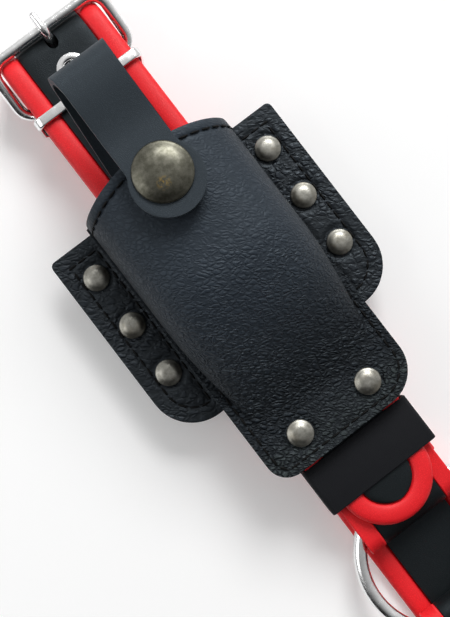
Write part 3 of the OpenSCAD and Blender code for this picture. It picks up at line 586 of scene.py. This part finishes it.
def flange_row(side):
    """The stitch line down one side of the flange, from its top to the corner's end."""
    low = pouch_bottom + side_inset
    ys = [sewn_from_y - k for k in range(20)]
    ys += [low + corner_l * (1 - sin(radians(a))) for a in range(10, 91, 10)]
    z = inside_z + front_t - groove_depth / 2
    return [Vector((side * front_half(y, side, side_inset), y, z)) for y in ys]


bm = bmesh.new()
stitched(bm, flange_row(1) + flange_row(-1)[::-1])
hem_row = [front_point(arch_share * (2 * k / 60 - 1), mouth_y) for k in range(61)]
stitched(bm, [p + Vector((0, -hem_inset, surface)) for p in hem_row])
finish_mesh(bm, "pouch_stitches", thread, "pouch")

# ---- Closure strap ----
# One smooth bridle leather strap with a rough dark back. It is riveted to the pouch's back
# inside the mouth, rises out of it, folds over on itself and snaps down on the front.
closure_t = 2
root_start_y = 8
root_bend_y = 24
root_bend_r = 12
rise_turn = radians(34)
rise_l = 28
fold_r = 4.2
fold_flat = 0.6
flap_mid_z = 42.8
flap_flat_y = 33
snap_y = 22.3
tip_r = 9.4
tip_mid_y = 20.6
flap_half = 7.4
fold_half = 8.4
root_half = 10
rise_end_y = 53.92
fold_steps = 18


def closure_line():
    """The strap's middle in the plane of y and z, from the root to the tip."""
    low_z = inside_z + closure_t / 2
    line = [Vector((0, root_start_y + 2 * k, low_z)) for k in range(8)]
    for k in range(7):
        a = rise_turn * k / 6
        line.append(Vector((0, root_bend_y + root_bend_r * sin(a), low_z + root_bend_r * (1 - cos(a)))))
    way = Vector((0, cos(rise_turn), sin(rise_turn)))
    line += [line[-1] + way * rise_l * k / 18 for k in range(1, 19)]
    fold_mid = line[-1] + Vector((0, -way.z, way.y)) * fold_r
    for k in range(1, fold_steps + 1):
        a = rise_turn + (pi - rise_turn) * k / fold_steps
        line.append(fold_mid + fold_r * Vector((0, sin(a), -cos(a))))
    top = line[-1]
    flap_y = top.y - 2 * fold_flat
    line.append(Vector((0, top.y - fold_flat, top.z)))
    for k in range(17):
        u = k / 16
        drop = (top.z - flap_mid_z) * (1 + cos(pi * u)) / 2
        line.append(Vector((0, flap_y + (flap_flat_y - flap_y) * u, flap_mid_z + drop)))
    tip_y = tip_mid_y - tip_r
    ends = [flap_flat_y - (flap_flat_y - tip_y) * sin(pi / 2 * k / 24) for k in range(1, 25)]
    return line + [Vector((0, y, flap_mid_z)) for y in ends], len(line) - 17


closure_path, flap_from = closure_line()


def closure_half(i):
    """Half width of the strap at a point of its line."""
    y = closure_path[i].y
    if i < flap_from - fold_steps:
        share = clamp((y - root_bend_y) / (rise_end_y - root_bend_y))
        return root_half + (fold_half - root_half) * share
    if i < flap_from:
        share = (i - flap_from + fold_steps) / fold_steps
        return fold_half + (flap_half - fold_half) * share
    off = y - tip_mid_y
    round_half = sqrt(max(0, tip_r ** 2 - off ** 2))
    return max(flap_half, round_half) if off > 0 else round_half


def closure_place(u, v):
    """A point of the strap's smooth face, which is the outer side of the fold."""
    i = round(v * (len(closure_path) - 1))
    before = closure_path[max(0, i - 1)]
    after = closure_path[min(len(closure_path) - 1, i + 1)]
    way = (after - before).normalized()
    outward = Vector((0, way.z, -way.y))
    across = 2 * u - 1
    return closure_path[i] + outward * closure_t / 2 + Vector((closure_half(i) * across, 0, 0))


bridle = (leather(
    "closure_leather", tone=(0.02, 0.026, 0.032, 1), light_tone=(0.028, 0.036, 0.044, 1), rough=0.5,
    pebbles=2400, depth=0.03 * MM, creasing=0.2, shine=0.35), "smooth_leather")
bm = soft_sheet(26, len(closure_path) - 1, closure_place, closure_t, turned_over=True)
closure = finish_mesh(bm, "closure_strap", bridle, None, "closure_root", "closure_flap", rounding=0.4)
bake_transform(closure)

# ---- Rivets ----
# Domed double-cap rivets in antique nickel: a rolled rim and a cap pressed over the post. Six
# hold the wings and two the pouch's bottom.
cap_h = 1.5
cap_rim = 0.55
wing_rivets = [(side * wing_rivet_x, row * wing_rivet_pitch) for side in (-1, 1) for row in (-1, 0, 1)]
bottom_rivets = [(side * bottom_rivet.x, bottom_rivet.y) for side in (-1, 1)]


def tidy(bm):
    """Closes the seams and turns all faces outwards."""
    bmesh.ops.remove_doubles(bm, verts=bm.verts, dist=0.002)
    bmesh.ops.recalc_face_normals(bm, faces=bm.faces)
    return bm


def turned(profile, places, z=0, steps=48):
    """A round piece spun from its profile of (radius, height), at each (x, y) of places."""
    bm = bmesh.new()
    for x, y in places:
        at = Vector((x, y, z))
        line = [bm.verts.new(Vector((r, 0, h)) + at) for r, h in profile]
        edges = [bm.edges.new(pair) for pair in zip(line, line[1:])]
        bmesh.ops.spin(bm, geom=line + edges, cent=at, axis=(0, 0, 1), angle=2 * pi, steps=steps,
                       use_merge=True)
    return tidy(bm)


def dome(radius, height, rim, steps=8):
    """Profile of a shallow dome over a rolled rim, from the middle of its back to its top."""
    roll = rim / 2
    line = [(0, 0), (radius - roll, 0)]
    line += [(radius - roll + roll * sin(radians(a)), roll - roll * cos(radians(a))) for a in (30, 60, 90)]
    line += [(radius - 0.25 * roll, rim * 0.9), (radius - roll * 1.1, rim * 1.06)]
    top_r = radius - roll * 1.3
    for k in range(1, steps):
        share = 1 - k / steps
        line.append((top_r * share, rim * 1.02 + (height - rim * 1.02) * (1 - share ** 3.2)))
    return line + [(0, height)]


antique_nickel, tree = new_material("antique_nickel")
spot = add(tree, "TexCoord").outputs["Object"]
brushed = add(tree, "Mapping", {"Vector": spot, "Scale": (1, 9, 1)}).outputs[0]
scratch = noise(tree, brushed, 700, 2)
worn = ramp(tree, noise(tree, spot, 900, 5, 0.65), 0.35, 0.68)
stain = ramp(tree, noise(tree, spot, 260, 3), 0.5, 0.75, to_high=0.3)
colour = mixed(tree, worn, (0.26, 0.255, 0.225, 1), (0.42, 0.41, 0.37, 1))
skin(tree, mixed(tree, stain, colour, (0.2, 0.14, 0.055, 1)), ramp(tree, scratch, 0.3, 0.7, 0.3, 0.5),
     bumped(tree, scratch, 0.2, 0.02 * MM), metal=1)
antique = (antique_nickel, "antique_nickel")

finish_mesh(turned(dome(cap_r, cap_h, cap_rim), wing_rivets, wing_mid_z + wing_t), "wing_caps", antique,
            "pouch", "wing_rivet_caps")
finish_mesh(turned(dome(cap_r, cap_h, cap_rim), bottom_rivets, inside_z + front_t), "bottom_caps", antique,
            "pouch", "bottom_rivet_caps")

# ---- Snap ----
# The cap of a press stud, pressed from thin metal with an aged bronze finish. Its post goes
# through the flap into the socket, which grips the stud on the front.
snap_r = 7.5
snap_h = 2.2
snap_rim = 0.7
post_r = 2
brassy_spot = Vector((-1.5, snap_y - 2.5, flap_mid_z + 3))
brassy_r = 2

aged_snap, tree = new_material("aged_snap")
spot = add(tree, "TexCoord").outputs["Object"]
tarnish = noise(tree, spot, 700, 6, 0.7)
colour = mixed(tree, ramp(tree, tarnish, 0.38, 0.66), (0.09, 0.088, 0.068, 1), (0.17, 0.165, 0.135, 1))
off_spot = add(tree, "VectorMath", {0: spot, 1: brassy_spot * MM}, operation="DISTANCE").outputs["Value"]
# Plating rubbed through to brass round one spot on the cap's top.
rub_wear_and_painted_light = ramp(tree, off_spot, brassy_r * MM, 0.2 * brassy_r * MM, to_high=0.8)
brass = calc(tree, "MULTIPLY", rub_wear_and_painted_light, ramp(tree, noise(tree, spot, 1500, 3), 0.45, 0.6))
skin(tree, mixed(tree, brass, colour, (0.45, 0.3, 0.08, 1)), 0.36, bumped(tree, tarnish, 0.4, 0.03 * MM),
     metal=1)
aged = (aged_snap, "antique_nickel")

bm = turned(dome(snap_r, snap_h, snap_rim, steps=14), [(0, snap_y)], flap_mid_z + closure_t / 2, steps=72)
bmesh.ops.create_cone(bm, cap_ends=True, segments=32, radius1=post_r, radius2=post_r, depth=closure_t,
                      matrix=Matrix.Translation((0, snap_y, flap_mid_z)))
finish_mesh(tidy(bm), "snap_cap_dome", aged, "flap", "snap_cap")

# ---- Tail strap ----
# Two smooth black leathers sewn over a tape. The strap runs from the ring's far side round the
# far bend, back under everything, round the buckle's bend and along the top to its round tip.
strap_half = 9.8
strap_t = 4
leather_t = 1.4
edge_roll = 0.4
near_bend = (69.5, 7.95)
far_bend = (-131, 5.3)
stub_y = -119.4
taper_y = -56
tail_tip_y = -70.5
tail_tip_r = 7.1
taper_steps = 12
tip_steps = 26
tail_mid_z = 2 * near_bend[1] - strap_t / 2
eyelet_ys = [62.6 - 20 * k for k in range(5)]
eyelet_hole_r = 3.2
prong_steep = 61
prong_axis = Vector((0, cos(radians(prong_steep)), sin(radians(prong_steep))))
prong_slot_mid = Vector((0, 71.32, 14.04))
prong_slot_half = Vector((0, prong_axis.z, -prong_axis.y)) * 0.8
prong_slot_r = 1.6
right = Vector((1, 0, 0))
ahead = Vector((0, 1, 0))
up = Vector((0, 0, 1))


def arc_of(middle, radius, start, end, steps):
    """Points and outward directions along an arc in the plane of y and z, angles in degrees."""
    line = []
    for k in range(steps + 1):
        a = radians(start + (end - start) * k / steps)
        out = Vector((0, cos(a), sin(a)))
        line.append((Vector((0, *middle)) + radius * out, out))
    return line


def straight(a, b, steps, out):
    """Points between a and b without both ends, all facing out."""
    return [(a.lerp(b, k / steps), out) for k in range(1, steps)]


def tail_line(bend_steps, run_steps, top_steps):
    """The tail's middle line up to the start of its taper."""
    far = arc_of(far_bend, far_bend[1] - strap_t / 2, 90, 270, bend_steps)
    near = arc_of(near_bend, near_bend[1] - strap_t / 2, -90, 90, bend_steps)
    line = [(Vector((0, stub_y, far[0][0].z)), up)] + far
    line += straight(far[-1][0], near[0][0], run_steps, -up) + near
    top_end = Vector((0, taper_y, near[-1][0].z))
    return line + straight(near[-1][0], top_end, top_steps, up) + [(top_end, up)]


leather_line = tail_line(24, 40, 125)
tip_from = len(leather_line) - 1
for k in range(1, tip_steps + 1):
    on_round = sin(pi / 2 * max(0, k - taper_steps) / (tip_steps - taper_steps))
    y = taper_y + (tail_tip_y - taper_y) * min(1, k / taper_steps) - tail_tip_r * on_round
    leather_line.append((Vector((0, y, leather_line[-1][0].z)), up))


def tail_half(i):
    """Half width of the tail's leather at a point of its line."""
    y = leather_line[i][0].y
    if i <= tip_from:
        return strap_half
    if y >= tail_tip_y:
        return tail_tip_r + (strap_half - tail_tip_r) * (y - tail_tip_y) / (taper_y - tail_tip_y)
    return sqrt(max(0, tail_tip_r ** 2 - (y - tail_tip_y) ** 2))


def layer_lift(depth, across):
    """How far a layer's outer face lies over the strap's middle. The top layer's edges roll in."""
    return strap_t / 2 - depth - edge_roll * abs(across) ** 8 * (depth == 0)


def tail_layer(depth):
    def place(u, v):
        i = round(v * (len(leather_line) - 1))
        at, out = leather_line[i]
        across = 2 * u - 1
        return at + out * layer_lift(depth, across) + Vector((tail_half(i) * across, 0, 0))
    return place


strap_skin = (leather(
    "strap_leather", tone=(0.005, 0.0065, 0.007, 1), light_tone=(0.009, 0.011, 0.012, 1), rough=0.38,
    pebbles=2200, depth=0.03 * MM, creasing=0.25, shine=0.25), "strap_leather")

# The tape and the keeper are a black ribbon in satin weave.
satin_weave, given, result = new_group("satin_weave", {"Threads per m": 3200}, ["Height"])
tree = satin_weave
parts = add(tree, "SeparateXYZ", {"Vector": given["Vector"]}).outputs
across_threads = calc(tree, "MULTIPLY", calc(tree, "ADD", parts["X"], parts["Z"]), given["Threads per m"])
along_threads = calc(tree, "MULTIPLY", parts["Y"], given["Threads per m"])
step_place = calc(tree, "MULTIPLY_ADD", calc(tree, "FLOOR", along_threads), 2.0,
                  calc(tree, "FLOOR", across_threads))
crossing = calc(tree, "LESS_THAN", calc(tree, "FLOORED_MODULO", step_place, 5.0), 0.5)
rounds = [calc(tree, "ABSOLUTE", calc(tree, "SINE", calc(tree, "MULTIPLY", turns, pi)))
          for turns in (along_threads, across_threads)]
height = add(tree, "Mix", {"Factor": crossing, "A": rounds[0], "B": rounds[1]}).outputs["Result"]
tree.links.new(height, result["Height"])

woven_black, tree = new_material("woven_black")
weave = add(tree, "Group", {"Vector": add(tree, "TexCoord").outputs["Object"]},
            node_tree=satin_weave).outputs["Height"]
skin(tree, mixed(tree, weave, (0.003, 0.003, 0.004, 1), (0.011, 0.012, 0.015, 1)), 0.6,
     bumped(tree, weave, 0.8, 0.06 * MM), shine=0.15)
ribbon = (woven_black, "woven_tape")

tail_punches = [(Vector((0, y, tail_mid_z)), up, eyelet_hole_r) for y in eyelet_ys]
tail_punches.append((prong_slot_mid, prong_axis, prong_slot_r, prong_slot_half))
layers = (("leather", 0, leather_t, strap_skin),
          ("tape", leather_t, strap_t - 2 * leather_t, ribbon),
          ("lining", strap_t - leather_t, leather_t, strap_skin))
for layer, depth, thick, finish in layers:
    bm = soft_sheet(28, len(leather_line) - 1, tail_layer(depth), thick, turned_over=True,
                    punches=tail_punches)
    finish_mesh(bm, "tail_" + layer, finish, "band", "tail_strap_" + layer, rounding=0.15)

# ---- Buckle strap ----
# The same sandwich of leather, tape and leather, flat and straight from the ring to the
# buckle's heel bar. The tail lies on it and the pouch slides along both.
buckle_strap_ys = (-72.6, 56.7)
strap_mid_z = 8.6


def buckle_strap_layer(depth):
    def place(u, v):
        across = 2 * u - 1
        y = buckle_strap_ys[0] + (buckle_strap_ys[1] - buckle_strap_ys[0]) * v
        return Vector((strap_half * across, y, strap_mid_z + layer_lift(depth, across)))
    return place


for layer, depth, thick, finish in layers:
    bm = soft_sheet(20, 24, buckle_strap_layer(depth), thick)
    finish_mesh(bm, "buckle_" + layer, finish, "band", "buckle_strap_" + layer, rounding=0.15)

# ---- Piping ----
# Bright red leather rolled over a soft core. Its tongue is sewn in between the strap's two
# leathers, and the tail's piping runs in one piece round the tip.
piping_w = 5.7
tongue_w = 3
tongue_half = 0.55
tongue_root = 0.2
bead_squareness = 2.7
piping_stop_y = 54
ring_piping_y = -74.0


def swept(stations, outline, bm=None):
    """A solid swept along stations of (point, side, up). The outline has (side, up) pairs."""
    bm = bm or bmesh.new()
    grid = bmesh.ops.create_grid(bm, x_segments=len(outline), y_segments=len(stations) - 1, size=0.5)
    for vert in grid["verts"]:
        q = outline[round((vert.co.x + 0.5) * len(outline)) % len(outline)]
        at, side, over = stations[round((vert.co.y + 0.5) * (len(stations) - 1))]
        vert.co = at + q[0] * side + q[1] * over
    bmesh.ops.remove_doubles(bm, verts=grid["verts"], dist=0.0005)
    bmesh.ops.holes_fill(bm, edges=[edge for edge in bm.edges if edge.is_boundary], sides=0)
    bmesh.ops.recalc_face_normals(bm, faces=bm.faces)
    return bm


def bead_outline(width, half_h, steps=20):
    """A plump squared round with its inner edge at 0."""
    mid = width / 2
    turns = [2 * pi * k / steps for k in range(steps)]
    return [(mid + mid * power(cos(a), 2 / bead_squareness), half_h * power(sin(a), 2 / bead_squareness))
            for a in turns]


def with_tongue(outline):
    """The same outline with the sewn tongue on its inner side."""
    kept = [q for q in outline if q[0] > 1.5 * tongue_root]
    split = next(i for i in range(len(kept)) if kept[i][1] > 0 and kept[i + 1][1] < 0)
    tongue = [(tongue_root, tongue_half), (-tongue_w, tongue_half), (-tongue_w, -tongue_half),
              (tongue_root, -tongue_half)]
    return kept[:split + 1] + tongue + kept[split + 1:]


def mirrored(stations):
    flip = Matrix.Scale(-1, 3, right)
    return [(flip @ at, flip @ side, over) for at, side, over in stations]


red = (leather(
    "red_leather", tone=(0.8, 0.012, 0.018, 1), light_tone=(0.95, 0.02, 0.028, 1), rough=0.4,
    pebbles=2400, depth=0.02 * MM, creasing=0.25, shine=0.35, shine_tone=white), "red_leather")

piping_outline = with_tongue(bead_outline(piping_w, strap_t / 2))
edge = [(at + right * strap_half, right, out) for at, out in tail_line(20, 30, 20)]
taper_turn = atan2(strap_half - tail_tip_r, taper_y - tail_tip_y)
edge[-1] = (edge[-1][0], right - tan(taper_turn / 2) * ahead, up)
for k in range(13):
    a = pi / 2 * k / 12
    out = Vector((cos(a), -sin(a), 0))
    edge.append((Vector((0, tail_tip_y, tail_mid_z)) + tail_tip_r * out, out, up))
finish_mesh(swept(edge + mirrored(edge[:-1])[::-1], piping_outline), "tail_piping", red, "band",
            "tail_strap_piping")

ys = [ring_piping_y + (piping_stop_y - ring_piping_y) * k / 30 for k in range(31)]
bm = bmesh.new()
for side in (-1, 1):
    swept([(Vector((side * strap_half, y, strap_mid_z)), side * right, up) for y in ys], piping_outline, bm)
finish_mesh(bm, "buckle_piping", red, "band", "buckle_strap_piping", rounding=0.4)

# ---- Folds round the ring and the heel bar ----
# Thin leather turned round a bar and riveted to both faces of a strap. The chape holds the
# buckle, and two folds with red edges hold the O-ring.
fold_t = 1.1
heel_y = 60
chape_lap = 22
ring_y = -96
near_ring_fold = (-81.89, 22)
far_ring_fold = (-110.1, 19.9)
fold_red = (9.9, 14.6)
red_lap_less = 8


def fold_piece(name, finish, node, bar_y, lap, xs, way, rounding):
    """A leather from x to x of xs, folded round a bar. way is 1 where it turns at its +Y end."""
    outer = strap_t / 2 + fold_t
    line = [Vector((0, -lap * (1 - k / 6), -outer)) for k in range(6)]
    line += [at for at, out in arc_of((0, 0), outer, -90, 90, 20)]
    line += [Vector((0, -lap * k / 6, outer)) for k in range(1, 7)]

    def place(u, v):
        at = line[round(v * (len(line) - 1))]
        return Vector((xs[0] + (xs[1] - xs[0]) * u, bar_y + way * at.y, strap_mid_z + at.z))
    bm = soft_sheet(12, len(line) - 1, place, fold_t, turned_over=way < 0)
    finish_mesh(bm, name, finish, "band", node, rounding=rounding)


across_strap = (-strap_half, strap_half)
fold_piece("chape_leather", strap_skin, "chape", heel_y, chape_lap, across_strap, 1, 0.3)
for name, node, (fold_y, lap), way in (("ring_fold", "ring_fold", near_ring_fold, -1),
                                       ("far_fold", "tail_ring_fold", far_ring_fold, 1)):
    fold_piece(name + "_leather", strap_skin, node, fold_y, lap, across_strap, way, 0.3)
    for hand, side in (("left", -1), ("right", 1)):
        xs = sorted((side * fold_red[0], side * fold_red[1]))
        fold_piece(f"{name}_red_{hand}", red, node + "_piping", fold_y, lap - red_lap_less, xs, way, 0.5)

# ---- Buckle frame ----
# Nickel plated steel wire, bent to a rounded oblong and welded shut, polished and lightly
# scratched by use. The chape holds its heel bar, and its outer bar lies on the tail.
bright_nickel, tree = new_material("bright_nickel")
wear = noise(tree, add(tree, "TexCoord").outputs["Object"], 500, 5, 0.6)
skin(tree, ramp(tree, wear, 0.3, 0.7, 0.84, 0.95), ramp(tree, wear, 0.35, 0.7, 0.16, 0.3),
     bumped(tree, wear, 0.25, 0.02 * MM), metal=1)
nickel = (bright_nickel, "bright_nickel")

wire_r = 1.5
frame_half = 17.6
frame_corner_r = 4.5
heel_bar = Vector((0, heel_y, strap_mid_z))
outer_bar = Vector((0, 76, 15.15))
frame_l = (outer_bar - heel_bar).length
frame_way = (outer_bar - heel_bar).normalized()
frame_up = right.cross(frame_way)


def ring_outline(radius, steps=20):
    return [(radius * cos(2 * pi * k / steps), radius * sin(2 * pi * k / steps)) for k in range(steps)]


def rounded_loop(half_w, length, corner, steps):
    """Points and outward directions round a rectangle with round corners, closed, from u = 0 up."""
    centres = [(half_w - corner, length - corner, 0), (-half_w + corner, length - corner, 90),
               (-half_w + corner, corner, 180), (half_w - corner, corner, 270)]
    line = []
    for x, w, start in centres:
        for k in range(steps + 1):
            a = radians(start + 90 * k / steps)
            line.append(((x + corner * cos(a), w + corner * sin(a)), (cos(a), sin(a))))
    return line + [line[0]]


stations = [(heel_bar + x * right + w * frame_way, dx * right + dw * frame_way, frame_up)
            for (x, w), (dx, dw) in rounded_loop(frame_half, frame_l, frame_corner_r, 10)]
finish_mesh(swept(stations, ring_outline(wire_r)), "buckle_wire", nickel, "band", "buckle_frame")

# ---- Prong ----
# A plated steel rod. It leaves its loop on the heel bar, runs under the tail, turns up through
# the slot, bends over the outer bar and ends in a round tip.
prong_r = 1.2
prong_low = Vector((0, 68.7, 12.18))
prong_bend_r = 2.2
prong_over_r = 2.75
prong_start = 8
prong_tip_y = 80.4
loop_r = (1.6, 3.0)
loop_half_w = 1.4


def heading(a):
    """Direction of the prong where it climbs at this many degrees, and its upper side."""
    return Vector((0, cos(radians(a)), sin(radians(a)))), Vector((0, -sin(radians(a)), cos(radians(a))))


way, above = heading(prong_start)
bend_from = prong_low - prong_bend_r * above
shank = bend_from - way * (bend_from.y - heel_y - sum(loop_r) / 2) / way.y
rod = [(shank, above, prong_r)]
for k in range(11):
    above = heading(prong_start + (prong_steep - prong_start) * k / 10)[1]
    rod.append((prong_low - prong_bend_r * above, above, prong_r))
for k in range(13):
    above = heading(prong_steep * (1 - k / 12))[1]
    rod.append((outer_bar + prong_over_r * above, above, prong_r))
for a in range(0, 90, 10):
    at = Vector((0, prong_tip_y - prong_r + prong_r * sin(radians(a)), outer_bar.z + prong_over_r))
    rod.append((at, up, prong_r * cos(radians(a))))
bm = swept([(at, radius * right, radius * above) for at, above, radius in rod], ring_outline(1, 18))

corners = [bm.verts.new(heel_bar + Vector((side * loop_half_w, 0, loop_r[end])))
           for end, side in ((0, -1), (1, -1), (1, 1), (0, 1))]
edges = [bm.edges.new((corners[k - 1], corners[k])) for k in (1, 2, 3, 0)]
bmesh.ops.spin(bm, geom=corners + edges, cent=heel_bar, axis=right, angle=2 * pi, steps=40, use_merge=True)
finish_mesh(tidy(bm), "prong", nickel, "prong", "buckle_prong", rounding=0.2)

# ---- Eyelets ----
# Plated brass tube, rolled over into a wide bright flange on both faces of the tail. They
# keep its holes from tearing.
eyelet_r = 4.3
bore_r = 2.3
flange_t = 0.3


def eyelet_profile(half_h):
    """Half of an eyelet from its waist up and the same mirrored down, as a closed line."""
    lip = half_h + flange_t
    upper = [(bore_r, 0), (bore_r, half_h - 0.4), (bore_r + 0.15, half_h), (bore_r + 0.5, lip - 0.03),
             (bore_r + 0.9, lip), (eyelet_r - 0.5, lip - 0.04), (eyelet_r - 0.1, half_h + 0.12),
             (eyelet_r, half_h), (bore_r + 0.5, half_h - 0.02), (bore_r + 0.5, 0)]
    lower = [(r, -z if z < half_h else min(-half_h, -z + flange_t)) for r, z in upper]
    return upper + lower[::-1] + [(bore_r, 0)]


finish_mesh(turned(eyelet_profile(strap_t / 2), [(0, y) for y in eyelet_ys], tail_mid_z), "eyelets", nickel,
            "band", "tail_eyelets")

# ---- O-ring ----
# Round steel bar, welded shut and plated. It turns freely in the two folds that hold it, and
# a clip or a second strap goes through it.
ring_r = 21
ring_wire_r = 1.9

rounds = [Vector((cos(2 * pi * k / 120), sin(2 * pi * k / 120), 0)) for k in range(121)]
stations = [(Vector((0, ring_y, strap_mid_z)) + ring_r * out, out, up) for out in rounds]
finish_mesh(swept(stations, ring_outline(ring_wire_r, 28)), "ring_wire", nickel, "ring", "o_ring")

# ---- Keepers ----
# Two loops round both straps, which keep the tail down. One is flat nickel plated bar beside
# the buckle. The other is black satin-woven ribbon at the tail's tip, with a lapped seam.


def keeper(name, finish, node, y, width, thick, inner, corner_r, edge_r, steps):
    """A flat loop round the straps. inner is its half width and its lower and upper z inside."""
    half, z0, z1 = inner
    stations = [(Vector((x, y, z0 - thick / 2 + z)), ahead, Vector((dx, 0, dz)))
                for (x, z), (dx, dz) in rounded_loop(half + thick / 2, z1 - z0 + thick, corner_r, steps)]
    outline = [(w, t - thick / 2) for (w, t), out in rounded_loop(width / 2, thick, edge_r, 4)[:-1]]
    finish_mesh(swept(stations, outline), name, finish, node, node)


keeper("metal_loop", nickel, "metal_keeper", y=56, width=2.8, thick=1.1, inner=(15.9, 5.4, 16.3),
       corner_r=2, edge_r=0.45, steps=8)
keeper("woven_loop", ribbon, "woven_keeper", y=-63.75, width=13.5, thick=0.8, inner=(15.9, 5.4, 16.0),
       corner_r=0.8, edge_r=0.3, steps=6)

# ---- Pouch back ----
# A flat pebbled leather, cut like the front and sewn to it. It lies on the saddle panel, and
# the closure strap is riveted to it inside.
back_t = 1.4


def back_place(u, v):
    y = front_rows[round(v * (len(front_rows) - 1))]
    return Vector((front_half(y, u - 0.5) * (2 * u - 1), y, inside_z))


finish_mesh(soft_sheet(30, len(front_rows) - 1, back_place, back_t), "pouch_back_leather", pebbled, "pouch",
            "pouch_back", rounding=0.35)

# ---- Rivet backs and posts ----
# Each double-cap rivet has a post with a flat head on the inner side. The strap folds have
# flush tubular rivets with a low head on both faces.
rivet_post_r = 1.2
back_head = (3.2, 0.8)
strap_head = (3, 0.8)
fold_head = (3, 0.5)
head_proud = 0.08
closure_rivets = [(-5, 16), (5, 16)]
chape_rivets = [(-5, 41.5), (5, 41.5)]
near_fold_rivet = (0, -66.1)
far_fold_rivet = (0, -125.9)


def post(z0, z1, low=None, high=None):
    """Profile of a post with an optional head of (radius, height) at either end."""
    line = [(0, z0)]
    if low:
        line += [(low[0] - 0.25, z0), (low[0], z0 + 0.25), (low[0], z0 + low[1]), (rivet_post_r, z0 + low[1])]
    else:
        line.append((rivet_post_r, z0))
    if high:
        line += [(rivet_post_r, z1 - high[1]), (high[0], z1 - high[1]), (high[0], z1 - 0.2),
                 (high[0] - 0.3, z1)]
    else:
        line.append((rivet_post_r, z1))
    return line + [(0, z1)]


wing_post = post(wing_mid_z - wing_t - back_head[1], wing_mid_z + wing_t, low=back_head)
bottom_post = post(inside_z - back_t - back_head[1], inside_z + front_t, low=back_head)
closure_post = post(inside_z - back_t, inside_z + closure_t + strap_head[1], high=strap_head)
half_fold = strap_t / 2 + fold_t + head_proud
fold_post = post(strap_mid_z - half_fold, strap_mid_z + half_fold, low=fold_head, high=fold_head)
for name, node, profile, places, finish, body in (
        ("wing_posts", "wing_rivet_posts", wing_post, wing_rivets, antique, "pouch"),
        ("bottom_posts", "bottom_rivet_posts", bottom_post, bottom_rivets, antique, "pouch"),
        ("closure_posts", "closure_rivets", closure_post, closure_rivets, antique, "pouch"),
        ("chape_posts", "chape_rivets", fold_post, chape_rivets, nickel, "band"),
        ("ring_fold_post", "ring_fold_rivet", fold_post, [near_fold_rivet], nickel, "band"),
        ("far_fold_post", "tail_fold_rivet", fold_post, [far_fold_rivet], nickel, "band")):
    finish_mesh(turned(profile, places), name, finish, body, node)

# ---- Snap stud and socket ----
# The stud stands on the pouch's front, held by a disc inside. The socket is pressed into the
# flap's underside and snaps over the stud's head.
disc_r = 4.5
disc_z = (-2.5, -1.8)
stud_base = (5, 0.8)
stud_neck_r = 2.2
stud_head_r = 2.6
stud_h = 2.7
socket_bore_r = 3.1
socket_r = 5.8
socket_h = 2

stud = [(0, disc_z[0]), (disc_r - 0.2, disc_z[0]), (disc_r, disc_z[0] + 0.2), (disc_r, disc_z[1]),
        (post_r, disc_z[1]), (post_r, 0), (stud_base[0], 0), (stud_base[0], stud_base[1] - 0.3),
        (stud_base[0] - 0.4, stud_base[1]), (stud_neck_r, stud_base[1]), (stud_neck_r, stud_h - 1.1),
        (stud_head_r, stud_h - 0.7), (stud_head_r, stud_h - 0.5), (stud_head_r - 0.3, stud_h - 0.15),
        (stud_head_r - 0.9, stud_h), (0, stud_h)]
socket = [(socket_bore_r, 0.2), (socket_bore_r + 0.2, 0), (socket_r - 0.6, 0), (socket_r - 0.2, 0.15),
          (socket_r, 0.5), (socket_r, socket_h), (socket_bore_r, socket_h), (socket_bore_r, 0.2)]
finish_mesh(turned(stud, [(0, snap_y)], inside_z + front_t + pouch_depth), "stud", nickel, "pouch",
            "snap_stud")
finish_mesh(turned(socket, [(0, snap_y)], flap_mid_z - closure_t / 2 - socket_h), "socket", nickel, "flap",
            "snap_socket")
